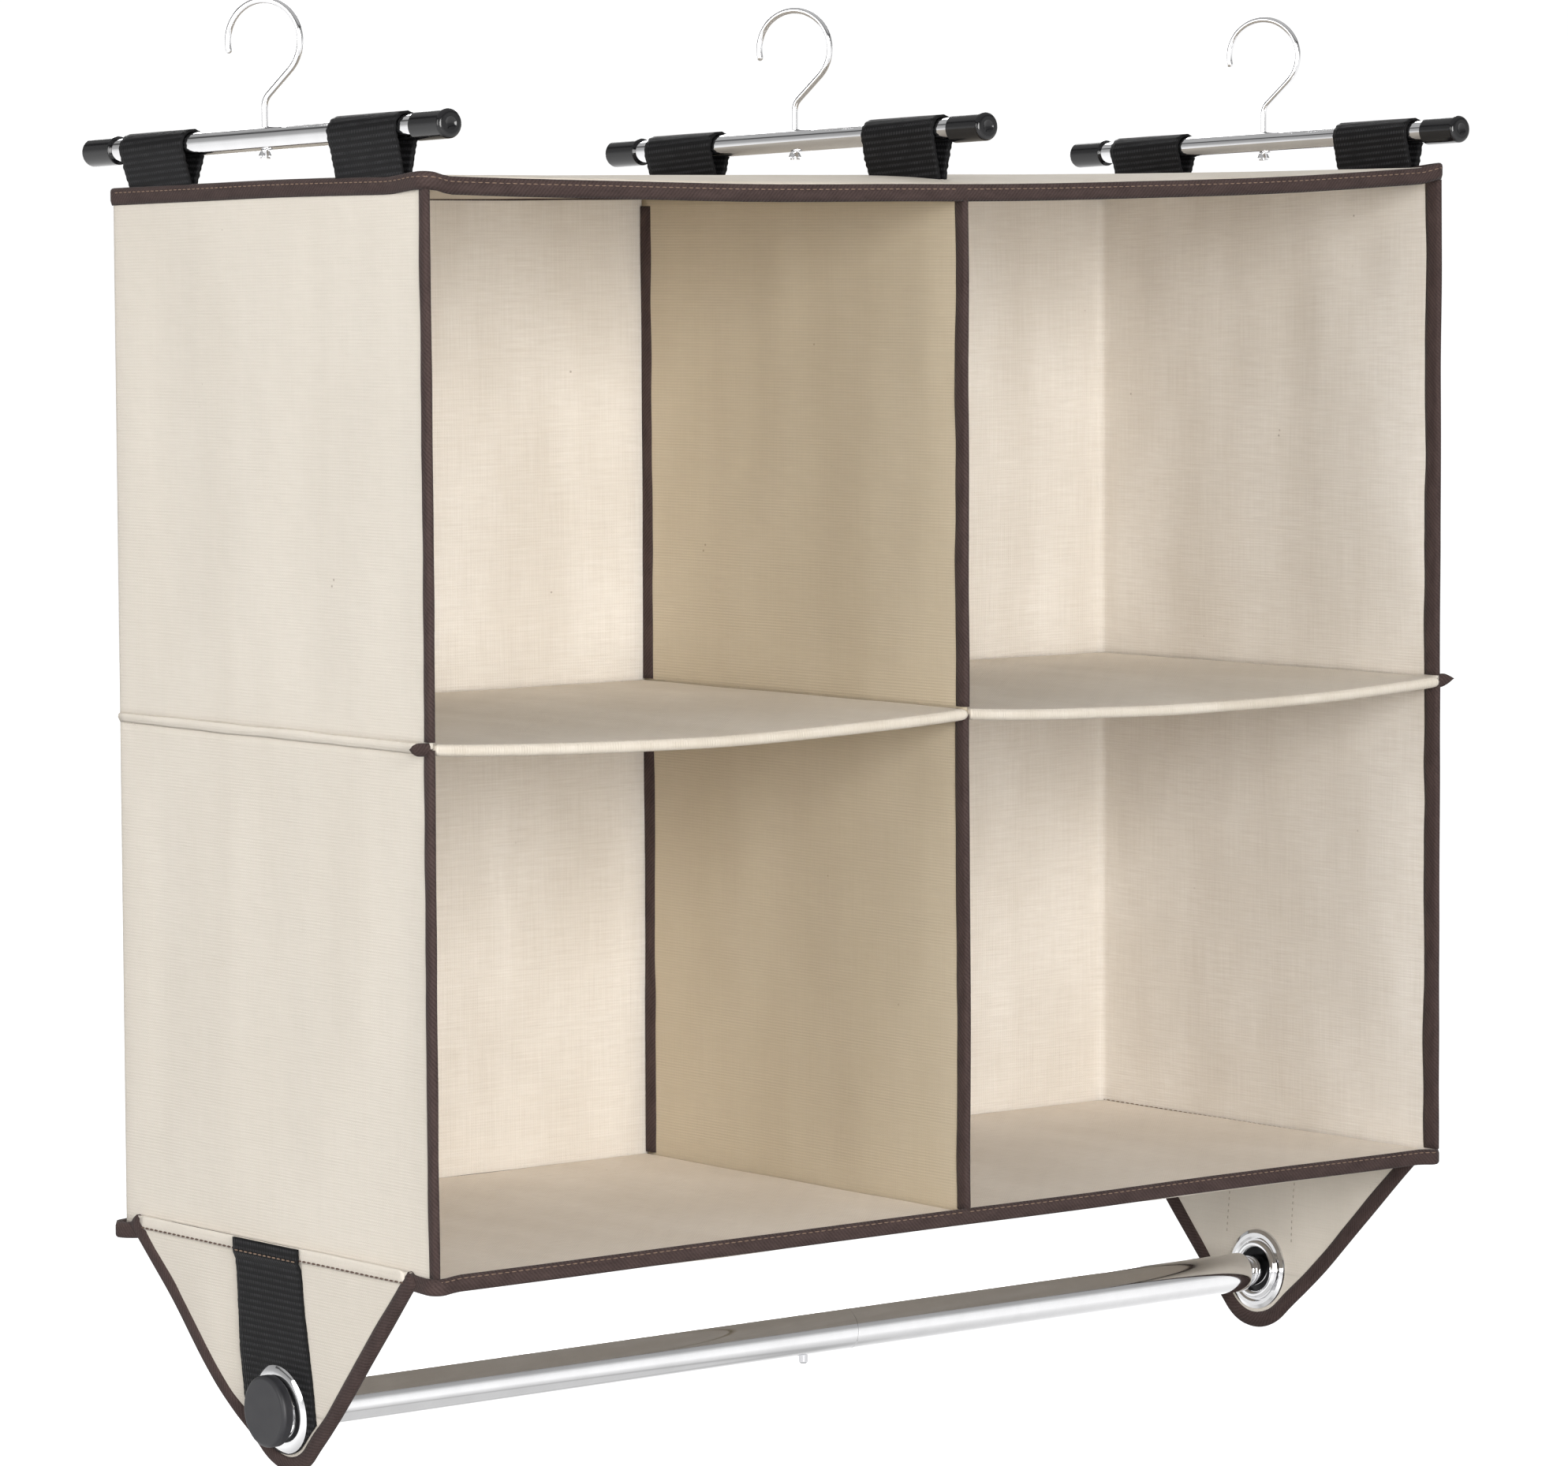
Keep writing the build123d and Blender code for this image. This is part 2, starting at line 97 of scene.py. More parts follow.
LEFT = corners("left_side_upper")[0].x
RIGHT = corners("right_side_upper")[1].x
FRONT = corners("left_side_upper")[0].y
BACK = corners("back_upper")[1].y
TOP = corners("top_sleeve")[1].z
FLOOR = corners("floor_left_sleeve")[0].z
SHELF = corners("shelf_left_sleeve")[1].z
SPLIT = (corners("left_side_upper")[0].z + corners("left_side_lower")[1].z) / 2
SLEEVE = TOP - corners("top_sleeve")[0].z
CLOTH = corners("back_upper")[1].y - corners("back_upper")[0].y
TAB_OUT = corners("tab_right")[1].x
TAB_IN = TAB_OUT - CLOTH
TAB_FOLD = Vector((TAB_IN, 0, corners("floor_binding")[0].z - 0.0003))
TAB_LEAN = radians(5.5)       # a tab hangs inwards below its fold
ROD_Z = sum(c.z for c in corners("rod_tube_left")) / 2
BARS = {name: sum(c.x for c in corners(f"hanger_bar_{name}")) / 2 for name in ("left", "middle", "right")}
BAR_Z = sum(c.z for c in corners("hanger_bar_middle")) / 2
BAR_AXIS = Vector(next(j["axis"] for j in frame["joints"] if j["name"] == "bar_middle_roll"))
SIDES = (("left", -1), ("right", 1))
HALF = (RIGHT - LEFT) / 2

# ---- sizes of the soft parts ----

TAPE = 0.0012                 # one layer of tape
BACK_BULGE = 0.0005           # most that the back stands out, so it stays behind the floor tape when folded
CORNER = 0.005                # rear corners of the case, where the wall wraps round
GRID = 0.006                  # spacing of cloth points
BAR_RADIUS = 0.006
WEB_THICK = 0.0015
WEB_WIDTH = 0.057
WEB_RIB = 0.0033              # pitch of the ribs across the webbing
TAB_ROUND = 0.032             # round end of a tab, about the rod
TAB_HALF = 0.123              # half width of a tab at the floor
HEM = 0.0078                  # folded hem of a tab
SHELF_SAG = 0.0055            # droop at the middle of a shelf's front edge
BOARD_THICK = 0.003
THREAD = 0.00028              # radius of the sewing thread
GROMMET_HOLE = 0.0132         # radius of the hole cut in a tab


# ---- materials ----

class Nodes:
    """Short calls for building one material's node tree."""

    def __init__(self, name):
        self.material = bpy.data.materials.new(name)
        self.material.use_nodes = True
        self.tree = self.material.node_tree
        self.shader = self.tree.nodes["Principled BSDF"]
        self.uv = self.tree.nodes.new("ShaderNodeTexCoord").outputs["UV"]

    def node(self, kind, inputs=None, **settings):
        made = self.tree.nodes.new(kind)
        for key, value in settings.items():
            setattr(made, key, value)
        for key, value in (inputs or {}).items():
            self.put(made.inputs[key], value)
        return made

    def put(self, socket, value):
        if isinstance(value, bpy.types.NodeSocket):
            self.tree.links.new(value, socket)
        else:
            socket.default_value = value

    def scaled(self, x, y, turn=0.0):
        """The cloth's own coordinates, in metres, times a scale along and across."""
        inputs = {"Vector": self.uv, "Scale": (x, y, 1), "Rotation": (0, 0, turn)}
        return self.node("ShaderNodeMapping", inputs).outputs[0]

    def noise(self, vector, detail=2.0, roughness=0.5):
        inputs = {"Vector": vector, "Scale": 1.0, "Detail": detail, "Roughness": roughness}
        return self.node("ShaderNodeTexNoise", inputs).outputs["Fac"]

    def stripes(self, vector, distortion=0.0):
        inputs = {"Vector": vector, "Scale": 1.0, "Distortion": distortion, "Detail": 1.0}
        return self.node("ShaderNodeTexWave", inputs, wave_type="BANDS", bands_direction="X").outputs["Fac"]

    def math(self, operation, a, b=0.0, c=0.0):
        return self.node("ShaderNodeMath", {0: a, 1: b, 2: c}, operation=operation).outputs[0]

    def span(self, value, low, high, to_low=0.0, to_high=1.0):
        inputs = {"Value": value, "From Min": low, "From Max": high, "To Min": to_low, "To Max": to_high}
        return self.node("ShaderNodeMapRange", inputs).outputs["Result"]

    def mix(self, factor, a, b, blend="MIX"):
        made = self.node("ShaderNodeMix", data_type="RGBA", blend_type=blend)
        for socket, value in ((made.inputs[0], factor), (made.inputs[6], a), (made.inputs[7], b)):
            self.put(socket, value)
        return made.outputs[2]

    def bump(self, height, distance, strength=1.0, under=None):
        inputs = {"Height": height, "Distance": distance, "Strength": strength}
        if under is not None:
            inputs["Normal"] = under
        return self.node("ShaderNodeBump", inputs).outputs["Normal"]

    def finish(self, colour, roughness, normal=None, **sockets):
        """Links colour, roughness and normal, and sets the other sockets by name."""
        self.put(self.shader.inputs["Base Color"], colour)
        self.put(self.shader.inputs["Roughness"], roughness)
        if normal is not None:
            self.put(self.shader.inputs["Normal"], normal)
        for key, value in sockets.items():
            self.shader.inputs[key.replace("_", " ")].default_value = value
        return self.material


def rgb(red, green, blue):
    return (red, green, blue, 1.0)


def canvas(name, light, dark, mottle=0.5, ribs=0.0, twill=0.0):
    """Undyed slub canvas: uneven threads both ways, pale slubs, small seed flecks and a plain weave."""
    n = Nodes(name)
    weft = n.noise(n.scaled(38, 1150), 3.0, 0.62)
    warp = n.noise(n.scaled(1000, 30), 3.0, 0.62)
    threads = n.math("ADD", n.math("MULTIPLY", weft, 0.6), n.math("MULTIPLY", warp, 0.4))
    patches = n.noise(n.scaled(16, 9), 2.0)
    clumps = n.math("MULTIPLY", n.noise(n.scaled(60, 420), 4.0, 0.7), n.span(patches, 0.35, 0.65))
    streak = n.noise(n.scaled(26, 1.6), 3.0, 0.55)
    cloud = n.noise(n.scaled(9, 4), 3.0)
    tone = n.math("ADD", n.span(threads, 0.36, 0.64, -mottle, mottle),
                  n.span(clumps, 0.1, 0.6, -mottle * 0.8, mottle * 0.8))
    tone = n.math("ADD", tone, n.span(streak, 0.35, 0.65, -0.16, 0.16))
    tone = n.math("ADD", tone, n.span(cloud, 0.35, 0.65, -0.14, 0.14))
    colour = n.mix(n.span(tone, -0.9, 0.9), rgb(*dark), rgb(*light))
    if ribs:
        rib = n.stripes(n.scaled(0.0, 210.0, -pi / 2), 0.8)
        colour = n.mix(n.math("MULTIPLY", rib, ribs), colour, rgb(*[c * 0.70 for c in dark]))
    fleck = n.node("ShaderNodeTexVoronoi", {"Vector": n.scaled(62, 75), "Scale": 1.0, "Randomness": 1.0})
    spot = n.span(fleck.outputs["Distance"], 0.03, 0.06, 1.0, 0.0)
    chosen = n.span(n.noise(n.scaled(31, 37), 1.0), 0.61, 0.65)
    colour = n.mix(n.math("MULTIPLY", n.math("MULTIPLY", spot, chosen), 0.5), colour, rgb(0.20, 0.13, 0.08))
    weave = n.math("MULTIPLY", n.stripes(n.scaled(200, 0)), n.stripes(n.scaled(0, 200, -pi / 2)))
    if twill:
        weave = n.math("ADD", weave, n.math("MULTIPLY", n.stripes(n.scaled(260, 260, pi / 4)), twill))
    crumple = n.bump(n.noise(n.scaled(24, 15), 4.0, 0.55), 0.0020, 0.35)
    fine = n.bump(weave, 0.00022, 0.5, crumple)
    normal = n.bump(threads, 0.0006, 0.6, fine)
    roughness = n.span(threads, 0.3, 0.7, 0.85, 0.97)
    return n.finish(colour, roughness, normal, Sheen_Weight=0.10, Sheen_Roughness=0.5,
                    Specular_IOR_Level=0.15)


def twill_tape(name, light, dark):
    """Brown binding tape: a fine diagonal twill with worn, slightly paler patches."""
    n = Nodes(name)
    ridge = n.stripes(n.scaled(190, 190, pi / 4), 1.2)
    wear = n.noise(n.scaled(70, 200), 4.0, 0.65)
    fuzz = n.noise(n.scaled(1100, 1100), 2.0)
    tone = n.math("ADD", n.math("MULTIPLY", ridge, 0.16), n.math("MULTIPLY", wear, 0.55))
    tone = n.math("ADD", tone, n.math("MULTIPLY", fuzz, 0.29))
    colour = n.mix(n.span(tone, 0.32, 0.68), rgb(*dark), rgb(*light))
    normal = n.bump(fuzz, 0.0003, 0.6, n.bump(ridge, 0.0002, 0.45))
    return n.finish(colour, n.span(wear, 0.3, 0.7, 0.8, 0.95), normal, Sheen_Weight=0.08, Sheen_Roughness=0.4,
                    Specular_IOR_Level=0.18)


def ribbed_webbing(name):
    """Black webbing: weft ribs across it, each a row of short warp floats with a painted highlight."""
    n = Nodes(name)
    rows = n.stripes(n.scaled(0.0, 1 / WEB_RIB / 3.1831, -pi / 2))
    floats = n.stripes(n.scaled(245, 0.0), 0.3)
    # glint is a painted highlight on each warp float, dimmed in patches by the wear noise; shine puts it into
    # the colour as lighter dashes.
    glint = n.math("MULTIPLY", n.span(rows, 0.35, 0.95), n.span(floats, 0.35, 0.9))
    wear = n.noise(n.scaled(120, 120), 3.0, 0.6)
    shine = n.math("MULTIPLY", glint, n.span(wear, 0.3, 0.65, 0.3, 1.0))
    colour = n.mix(shine, rgb(0.004, 0.004, 0.0045), rgb(0.047, 0.047, 0.051))
    normal = n.bump(n.math("MULTIPLY", floats, n.span(rows, 0.2, 0.8)), 0.0003, 0.7)
    return n.finish(colour, n.span(floats, 0.2, 0.9, 0.8, 0.5), normal, Specular_IOR_Level=0.18)


def sewing_thread(name, colour):
    n = Nodes(name)
    ply = n.stripes(n.scaled(2500, 900, pi / 5))
    shade = n.mix(n.span(ply, 0.2, 0.9), rgb(*[c * 0.7 for c in colour]), rgb(*colour))
    return n.finish(shade, 0.6, n.bump(ply, 0.0001, 0.5))


def on_object(n, scale):
    """Coordinates of the part itself, for pieces with no cloth coordinates."""
    place = n.node("ShaderNodeTexCoord").outputs["Object"]
    return n.node("ShaderNodeMapping", {"Vector": place, "Scale": (scale, scale, scale)}).outputs[0]


def chrome(name, tint=(0.80, 0.80, 0.81), rough=0.05):
    """Bright plate with a faint haze and a few rub marks."""
    n = Nodes(name)
    haze = n.noise(on_object(n, 60), 4.0, 0.6)
    rubs = n.noise(on_object(n, 700), 2.0, 0.7)
    roughness = n.math("ADD", n.span(haze, 0.35, 0.75, rough, rough + 0.07),
                       n.span(rubs, 0.62, 0.75, 0.0, 0.04))
    colour = n.mix(n.span(haze, 0.3, 0.8), rgb(*tint), rgb(*[c * 0.93 for c in tint]))
    return n.finish(colour, roughness, n.bump(haze, 0.00004, 0.3), Metallic=1.0)


def moulded_plastic(name, colour, low, high, grain):
    """Black plastic with a moulded grain and slightly uneven gloss."""
    n = Nodes(name)
    skin = n.noise(on_object(n, grain), 3.0, 0.6)
    patches = n.noise(on_object(n, 90), 3.0, 0.5)
    shade = n.mix(n.span(patches, 0.3, 0.7), rgb(*colour), rgb(*[c * 1.35 for c in colour]))
    roughness = n.span(patches, 0.3, 0.7, low, high)
    return n.finish(shade, roughness, n.bump(skin, 0.00006, 0.4), Specular_IOR_Level=0.5)


def fibreboard(name):
    n = Nodes(name)
    fibre = n.noise(n.scaled(260, 90), 5.0, 0.7)
    colour = n.mix(n.span(fibre, 0.3, 0.7), rgb(0.30, 0.21, 0.13), rgb(0.52, 0.41, 0.28))
    return n.finish(colour, 0.9, n.bump(fibre, 0.0002, 0.5))


OUTER = canvas("canvas_outer", (0.80, 0.745, 0.665), (0.69, 0.635, 0.555), mottle=0.22, twill=0.4)
INNER = canvas("canvas_inner", (0.88, 0.835, 0.775), (0.68, 0.62, 0.545), mottle=0.38)
# The divider's base colours are darker and more tan than the wall canvas as painted shade, for the shade
# inside the case; its ribs are the cloth's own weave.
DIVIDER_PAINTED_SHADE = canvas("canvas_divider_painted_shade", (0.66, 0.575, 0.44), (0.56, 0.475, 0.345), mottle=0.34, ribs=0.22)
PANEL = canvas("canvas_panel", (0.79, 0.73, 0.645), (0.63, 0.56, 0.465), mottle=0.42, twill=0.5)
# The cell floors take a lighter copy of the panel canvas as painted light, so they come out brighter than the
# shelves though the cloth is the same.
FLOOR_PANEL_PAINTED_LIGHT = canvas("canvas_floor_painted_light", (0.90, 0.825, 0.735), (0.74, 0.655, 0.555), mottle=0.42, twill=0.5)
TWILL = twill_tape("brown_twill_tape", (0.082, 0.056, 0.052), (0.036, 0.0235, 0.022))
WEBBING = ribbed_webbing("black_webbing")
THREAD_BROWN = sewing_thread("brown_thread", (0.30, 0.20, 0.14))
THREAD_PALE = sewing_thread("pale_thread", (0.52, 0.45, 0.36))
THREAD_DARK = sewing_thread("dark_thread", (0.12, 0.07, 0.05))
BOARD = fibreboard("fibreboard")
CHROME = chrome("chrome_plate")
STEEL = chrome("bright_steel", (0.62, 0.62, 0.64), 0.16)
GLOSS_BLACK = moulded_plastic("gloss_black", (0.006, 0.006, 0.007), 0.07, 0.16, 1500)
SATIN_BLACK = moulded_plastic("satin_black", (0.016, 0.016, 0.019), 0.42, 0.55, 2600)


# ---- mesh helpers ----

def soft(x, y, z, seed):
    """Smooth noise from -1 to 1; seed picks its own slice."""
    return noise.noise(Vector((x + 17.3 * seed, y - 9.1 * seed, z + 3.7 * seed)))


def ease(value):
    """0 to 1 with level ends."""
    value = min(max(value, 0.0), 1.0)
    return value * value * (3 - 2 * value)


def spread(low, high, step):
    """Evenly spaced values from low to high, about step apart."""
    count = max(2, ceil((high - low) / step) + 1)
    return [low + (high - low) * i / (count - 1) for i in range(count)]


def edged(low, high, step, edges=(0.0004, 0.0012, 0.0024, 0.0042)):
    """The same, with extra values close to both ends for a rounded rim."""
    inner = spread(low + edges[-1] * 1.7, high - edges[-1] * 1.7, step)
    return [low] + [low + e for e in edges] + inner + [high - e for e in reversed(edges)] + [high]


def placed(name, data):
    """A new object in the scene."""
    made = bpy.data.objects.new(name, data)
    bpy.context.scene.collection.objects.link(made)
    return made


def build(name, verts, faces, uvs, material, body, nodes=(), weld=False):
    """One piece: its mesh with cloth coordinates, its material, body and finish, and what it stands for."""
    mesh = bpy.data.meshes.new(name)
    mesh.from_pydata(verts, [], faces)
    layer = mesh.uv_layers.new(name="cloth")
    layer.data.foreach_set("uv", [value for uv in uvs for value in uv])
    work = bmesh.new()
    work.from_mesh(mesh)
    if weld:
        bmesh.ops.remove_doubles(work, verts=work.verts, dist=1e-6)
        bmesh.ops.dissolve_degenerate(work, edges=work.edges, dist=1e-7)
    bmesh.ops.recalc_face_normals(work, faces=work.faces)
    work.to_mesh(mesh)
    work.free()
    mesh.shade_smooth()
    piece = placed(name, mesh)
    piece.data.materials.append(material)
    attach(piece, body)
    if nodes:
        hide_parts(*nodes)
    return piece


def slab(name, grid, material, body, nodes=(), skip=None, weld=False):
    """A sheet with two faces. grid is rows of (point, normal, half thickness, uv); skip leaves cells out."""
    rows, columns = len(grid), len(grid[0])
    verts, coords = [], []
    for side in (1, -1):
        for row in grid:
            for point, normal, half, uv in row:
                verts.append(point + normal * (half * side))
                coords.append(uv)
    under = rows * columns
    kept = {(i, j) for i in range(rows - 1) for j in range(columns - 1) if not (skip and skip(i, j))}
    faces = []
    for i, j in sorted(kept):
        ring = [(i, j), (i + 1, j), (i + 1, j + 1), (i, j + 1)]
        loop = [a * columns + b for a, b in ring]
        faces.append(loop)
        faces.append([v + under for v in reversed(loop)])
        beyond = [(i, j - 1), (i + 1, j), (i, j + 1), (i - 1, j)]
        for k, other in enumerate(beyond):
            if other not in kept:
                a, b = loop[k], loop[(k + 1) % 4]
                faces.append([b, a, a + under, b + under])
    uvs = [coords[v] for face in faces for v in face]
    return build(name, verts, faces, uvs, material, body, nodes, weld)


def skin(name, rings, material, body, slot, nodes=(), closed=False):
    """A band swept through rings of points, with cloth coordinates along and round it."""
    count = len(rings[0])
    verts = [point for ring in rings for point in ring]
    along = [0.0]
    for a, b in zip(rings, rings[1:] + rings[:1]):
        along.append(along[-1] + (b[0] - a[0]).length)
    round_it = [0.0]
    for a, b in zip(rings[0], rings[0][1:] + rings[0][:1]):
        round_it.append(round_it[-1] + (b - a).length)
    faces, uvs = [], []
    last = len(rings) if closed else len(rings) - 1
    for i in range(last):
        nxt = (i + 1) % len(rings)
        for j in range(count):
            k = (j + 1) % count
            faces.append([i * count + j, i * count + k, nxt * count + k, nxt * count + j])
            uvs += [(along[i], round_it[j]), (along[i], round_it[j + 1]), (along[i + 1], round_it[j + 1]),
                    (along[i + 1], round_it[j])]
    if not closed:
        for start in (0, (len(rings) - 1) * count):
            faces.append(list(range(start, start + count)))
            uvs += [(0.01 * cos(2 * pi * j / count), 0.01 * sin(2 * pi * j / count)) for j in range(count)]
    return build(name, verts, faces, uvs, material, body, nodes)


def oval(half_across, half_up, count):
    """An oval outline as (across, up) pairs."""
    turns = [2 * pi * k / count for k in range(count)]
    return [(half_across * cos(turn), half_up * sin(turn)) for turn in turns]


def hairpin(front_lap, back_lap, half, nose_steps=6):
    """A folded tape's outline as (across, in) pairs: laps either side of a round nose at in = 0."""
    turns = [pi * k / nose_steps for k in range(nose_steps + 1)]
    nose = [(half * cos(turn), half * (1 - sin(turn))) for turn in turns]
    steps = (1.0, 0.72, 0.4)
    start = [(half * (0.62 if s == 1.0 else 1.0), front_lap * s) for s in steps]
    end = [(-half * (0.62 if s == 1.0 else 1.0), back_lap * s) for s in reversed(steps)]
    return start + nose + end


def stitches(name, path, outward, body, material=None, pitch=0.0042, dash=0.0029, fat=THREAD):
    """A row of short thread dashes along a line of points, lying on the side that outward points to."""
    verts, faces, uvs = [], [], []
    lengths = [0.0]
    for a, b in zip(path, path[1:]):
        lengths.append(lengths[-1] + (b - a).length)

    def at(distance):
        for k in range(1, len(path)):
            if lengths[k] >= distance or k == len(path) - 1:
                share = (distance - lengths[k - 1]) / max(lengths[k] - lengths[k - 1], 1e-9)
                return path[k - 1].lerp(path[k], min(max(share, 0.0), 1.0))

    sides = 5
    for step in range(int(lengths[-1] / pitch)):
        start, end = at(step * pitch + 0.0005), at(step * pitch + 0.0005 + dash)
        along = (end - start).normalized()
        lift = outward(start) if callable(outward) else outward
        across = along.cross(lift).normalized()
        base = len(verts)
        for share, full in ((0.0, 0.35), (0.25, 1.0), (0.75, 1.0), (1.0, 0.35)):
            middle = start.lerp(end, share) + lift * fat * (0.75 * full - 0.45)
            for k in range(sides):
                turn = 2 * pi * k / sides
                verts.append(middle + (lift * sin(turn) + across * cos(turn)) * fat * full)
        for ring in range(3):
            for k in range(sides):
                a, b = base + ring * sides + k, base + ring * sides + (k + 1) % sides
                faces.append([a, b, b + sides, a + sides])
        faces.append([base + k for k in range(sides)])
        faces.append([base + 3 * sides + k for k in range(sides)])
    uvs = [(verts[v].x + verts[v].y, verts[v].z) for face in faces for v in face]
    return build(name, verts, faces, uvs, material or THREAD_BROWN, body)


# ---- walls ----

def wrap(distance):
    """A point on the middle of the wall cloth, and its outward side, from the left front edge round."""
    if distance > WRAP_LENGTH / 2:
        point, out = wrap(WRAP_LENGTH - distance)
        return Vector((LEFT + RIGHT - point.x, point.y, 0)), Vector((-out.x, out.y, 0))
    left, back = LEFT + CLOTH / 2, BACK - CLOTH / 2
    if distance <= SIDE_LENGTH:
        return Vector((left, FRONT + distance, 0)), Vector((-1, 0, 0))
    distance -= SIDE_LENGTH
    if distance <= BEND:
        out = Vector((-cos(distance / CORNER), sin(distance / CORNER), 0))
        return Vector((left + CORNER, back - CORNER, 0)) + out * CORNER, out
    return Vector((left + CORNER + distance - BEND, back, 0)), Vector((0, 1, 0))


SIDE_LENGTH = BACK - CLOTH / 2 - CORNER - FRONT
BEND = CORNER * pi / 2
WRAP_LENGTH = 2 * (SIDE_LENGTH + BEND) + (RIGHT - LEFT - CLOTH - 2 * CORNER)


def rise(x, y):
    """How far the hangers pull the top of the case up towards its front corners."""
    reach = 0.0055 if x < 0 else 0.0095
    return reach * min(abs(x) / HALF, 1.0) ** 2 * min(max((BACK - y) / (BACK - FRONT), 0.0), 1.0)


def folds(across, z, low, high, seed):
    """How far hanging cloth stands out of its plane: long upright waves that die away at its seams."""
    height = (z - low) / (high - low)
    hold = ease(height / 0.16) * ease((1 - height) / 0.16)
    waves = soft(across * 11, z * 2.2, 0, seed) * 0.0030 + soft(across * 31, z * 5.5, 0, seed + 5) * 0.0011
    drape = soft(across * 18 + z * 9, z * 8, 0, seed + 9) * 0.0008
    return hold * (waves + drape)


def wall_wrap(level, low, high, body, seed):
    """Left wall, back and right wall: one length of canvas."""
    corner_end = SIDE_LENGTH + BEND
    marks = (0, SIDE_LENGTH, corner_end, WRAP_LENGTH - corner_end, WRAP_LENGTH - SIDE_LENGTH, WRAP_LENGTH)
    distances = [0.0]
    for a, b in zip(marks, marks[1:]):
        distances += spread(a, b, 0.0014 if b - a < 2 * BEND else GRID)[1:]
    grid = []
    for distance in distances:
        base, out = wrap(distance)
        edge = min(distance, WRAP_LENGTH - distance)
        near_front = ease(edge / 0.03)
        bend = min(abs(distance - mark) for mark in marks[1:-1])
        square = ease((bend - BEND) / 0.035)
        calm = 0.35 if distance < SIDE_LENGTH else 0.8
        row = []
        for z in spread(low, high, GRID):
            height = (z - low) / (high - low)
            hold = ease(height / 0.14) * ease((1 - height) / 0.14)
            belly = -0.0010 * sin(pi * height) * hold
            push = square * (near_front * folds(distance, z, low, high, seed) * calm + near_front * belly)
            if out.y > 0.5 and push > 0:
                push /= 1 + push / BACK_BULGE
            lift = rise(base.x, base.y) * ease((z - TOP + 0.16) / 0.16)
            row.append((base + Vector((0, 0, z + lift)) + out * push, out, CLOTH / 2, (distance, z)))
        grid.append(row)
    nodes = [f"left_side_{level}", f"back_{level}", f"right_side_{level}"]
    piece = slab(f"wall_wrap_{level}", grid, INNER, body, nodes)
    colour_by_side(piece)
    return piece


def colour_by_side(piece):
    """The outside takes the smooth canvas; the inside keeps the mottled one."""
    piece.data.materials.append(OUTER)
    middle = Vector(((LEFT + RIGHT) / 2, (FRONT + BACK) / 2, 0))
    for face in piece.data.polygons:
        outward = (face.center - middle)
        outward.z = 0
        if face.normal.dot(outward) > 0:
            face.material_index = 1


def divider_drift(y):
    """The divider leans a little to the right towards its rear edge."""
    return 0.0035 * ease((y - FRONT) / (BACK - FRONT))


def divider(level, low, high, body, seed):
    grid = []
    for y in spread(FRONT, BACK - CLOTH - TAPE, GRID):
        row = []
        edge = min(y - FRONT, BACK - y)
        for z in spread(low, high, GRID):
            push = ease(edge / 0.03) * folds(y, z, low, high, seed) * 0.8 + divider_drift(y)
            row.append((Vector((push, y, z)), Vector((-1, 0, 0)), CLOTH / 2, (y, z)))
        grid.append(row)
    return slab(f"divider_panel_{level}", grid, DIVIDER_PAINTED_SHADE, body, [f"divider_{level}"])


# ---- boarded panels ----

def panel_height(x, y, x_low, x_high, sag, crown):
    """A sleeve's rise over its plane: it droops at the middle of its front edge, or swells if crowned."""
    u = (x - x_low) / (x_high - x_low)
    v = (y - FRONT) / (BACK - FRONT)
    droop = sag * sin(pi * min(max(u, 0), 1)) ** 0.8 * (1 - v) ** 2.6
    swell = crown * sin(pi * min(max(u, 0), 1)) ** 0.5 * sin(pi * min(max(v, 0), 1)) ** 0.45
    return swell - droop + soft(x * 14, y * 14, 0, 3) * 0.0004


def panel(name, x_range, y_range, z_middle, thick, material, body, node, sag=0.0, crown=0.0,
          round_rim=0.0028, rear_round=0.011, drift=(0, 0)):
    """A flat sleeve or board with rounded rims, rounded rear corners and a given droop and swell."""
    grid = []
    half = thick / 2
    x_low, x_high = x_range
    for x0 in edged(x_low, x_high, 0.012):
        row = []
        side_gap = min(x0 - x_low, x_high - x0)
        outer = (x0 - x_low < rear_round and drift[0] == 0) or (x_high - x0 < rear_round and drift[1] == 0)
        trim = rear_round - sqrt(max(rear_round**2 - (rear_round - side_gap) ** 2, 0)) if outer else 0.0
        y_high = y_range[1] - trim
        shrink = (y_high - y_range[0]) / (y_range[1] - y_range[0])
        for y in edged(y_range[0], y_range[1], 0.012):
            y = y_range[0] + (y - y_range[0]) * shrink
            share = (x0 - x_low) / (x_high - x_low)
            x = x0 + (drift[0] * (1 - share) + drift[1] * share) * divider_drift(y)
            rim = min(side_gap, y - y_range[0], y_high - y)
            fat = half * sqrt(max(1 - (1 - min(rim / round_rim, 1)) ** 2, 0))
            z = z_middle + panel_height(x, y, x_low, x_high, sag, crown) + (rise(x, y) if crown else 0.0)
            row.append((Vector((x, y, z)), Vector((0, 0, 1)), fat, (x, y)))
        grid.append(row)
    return slab(name, grid, material, body, [node], weld=True)


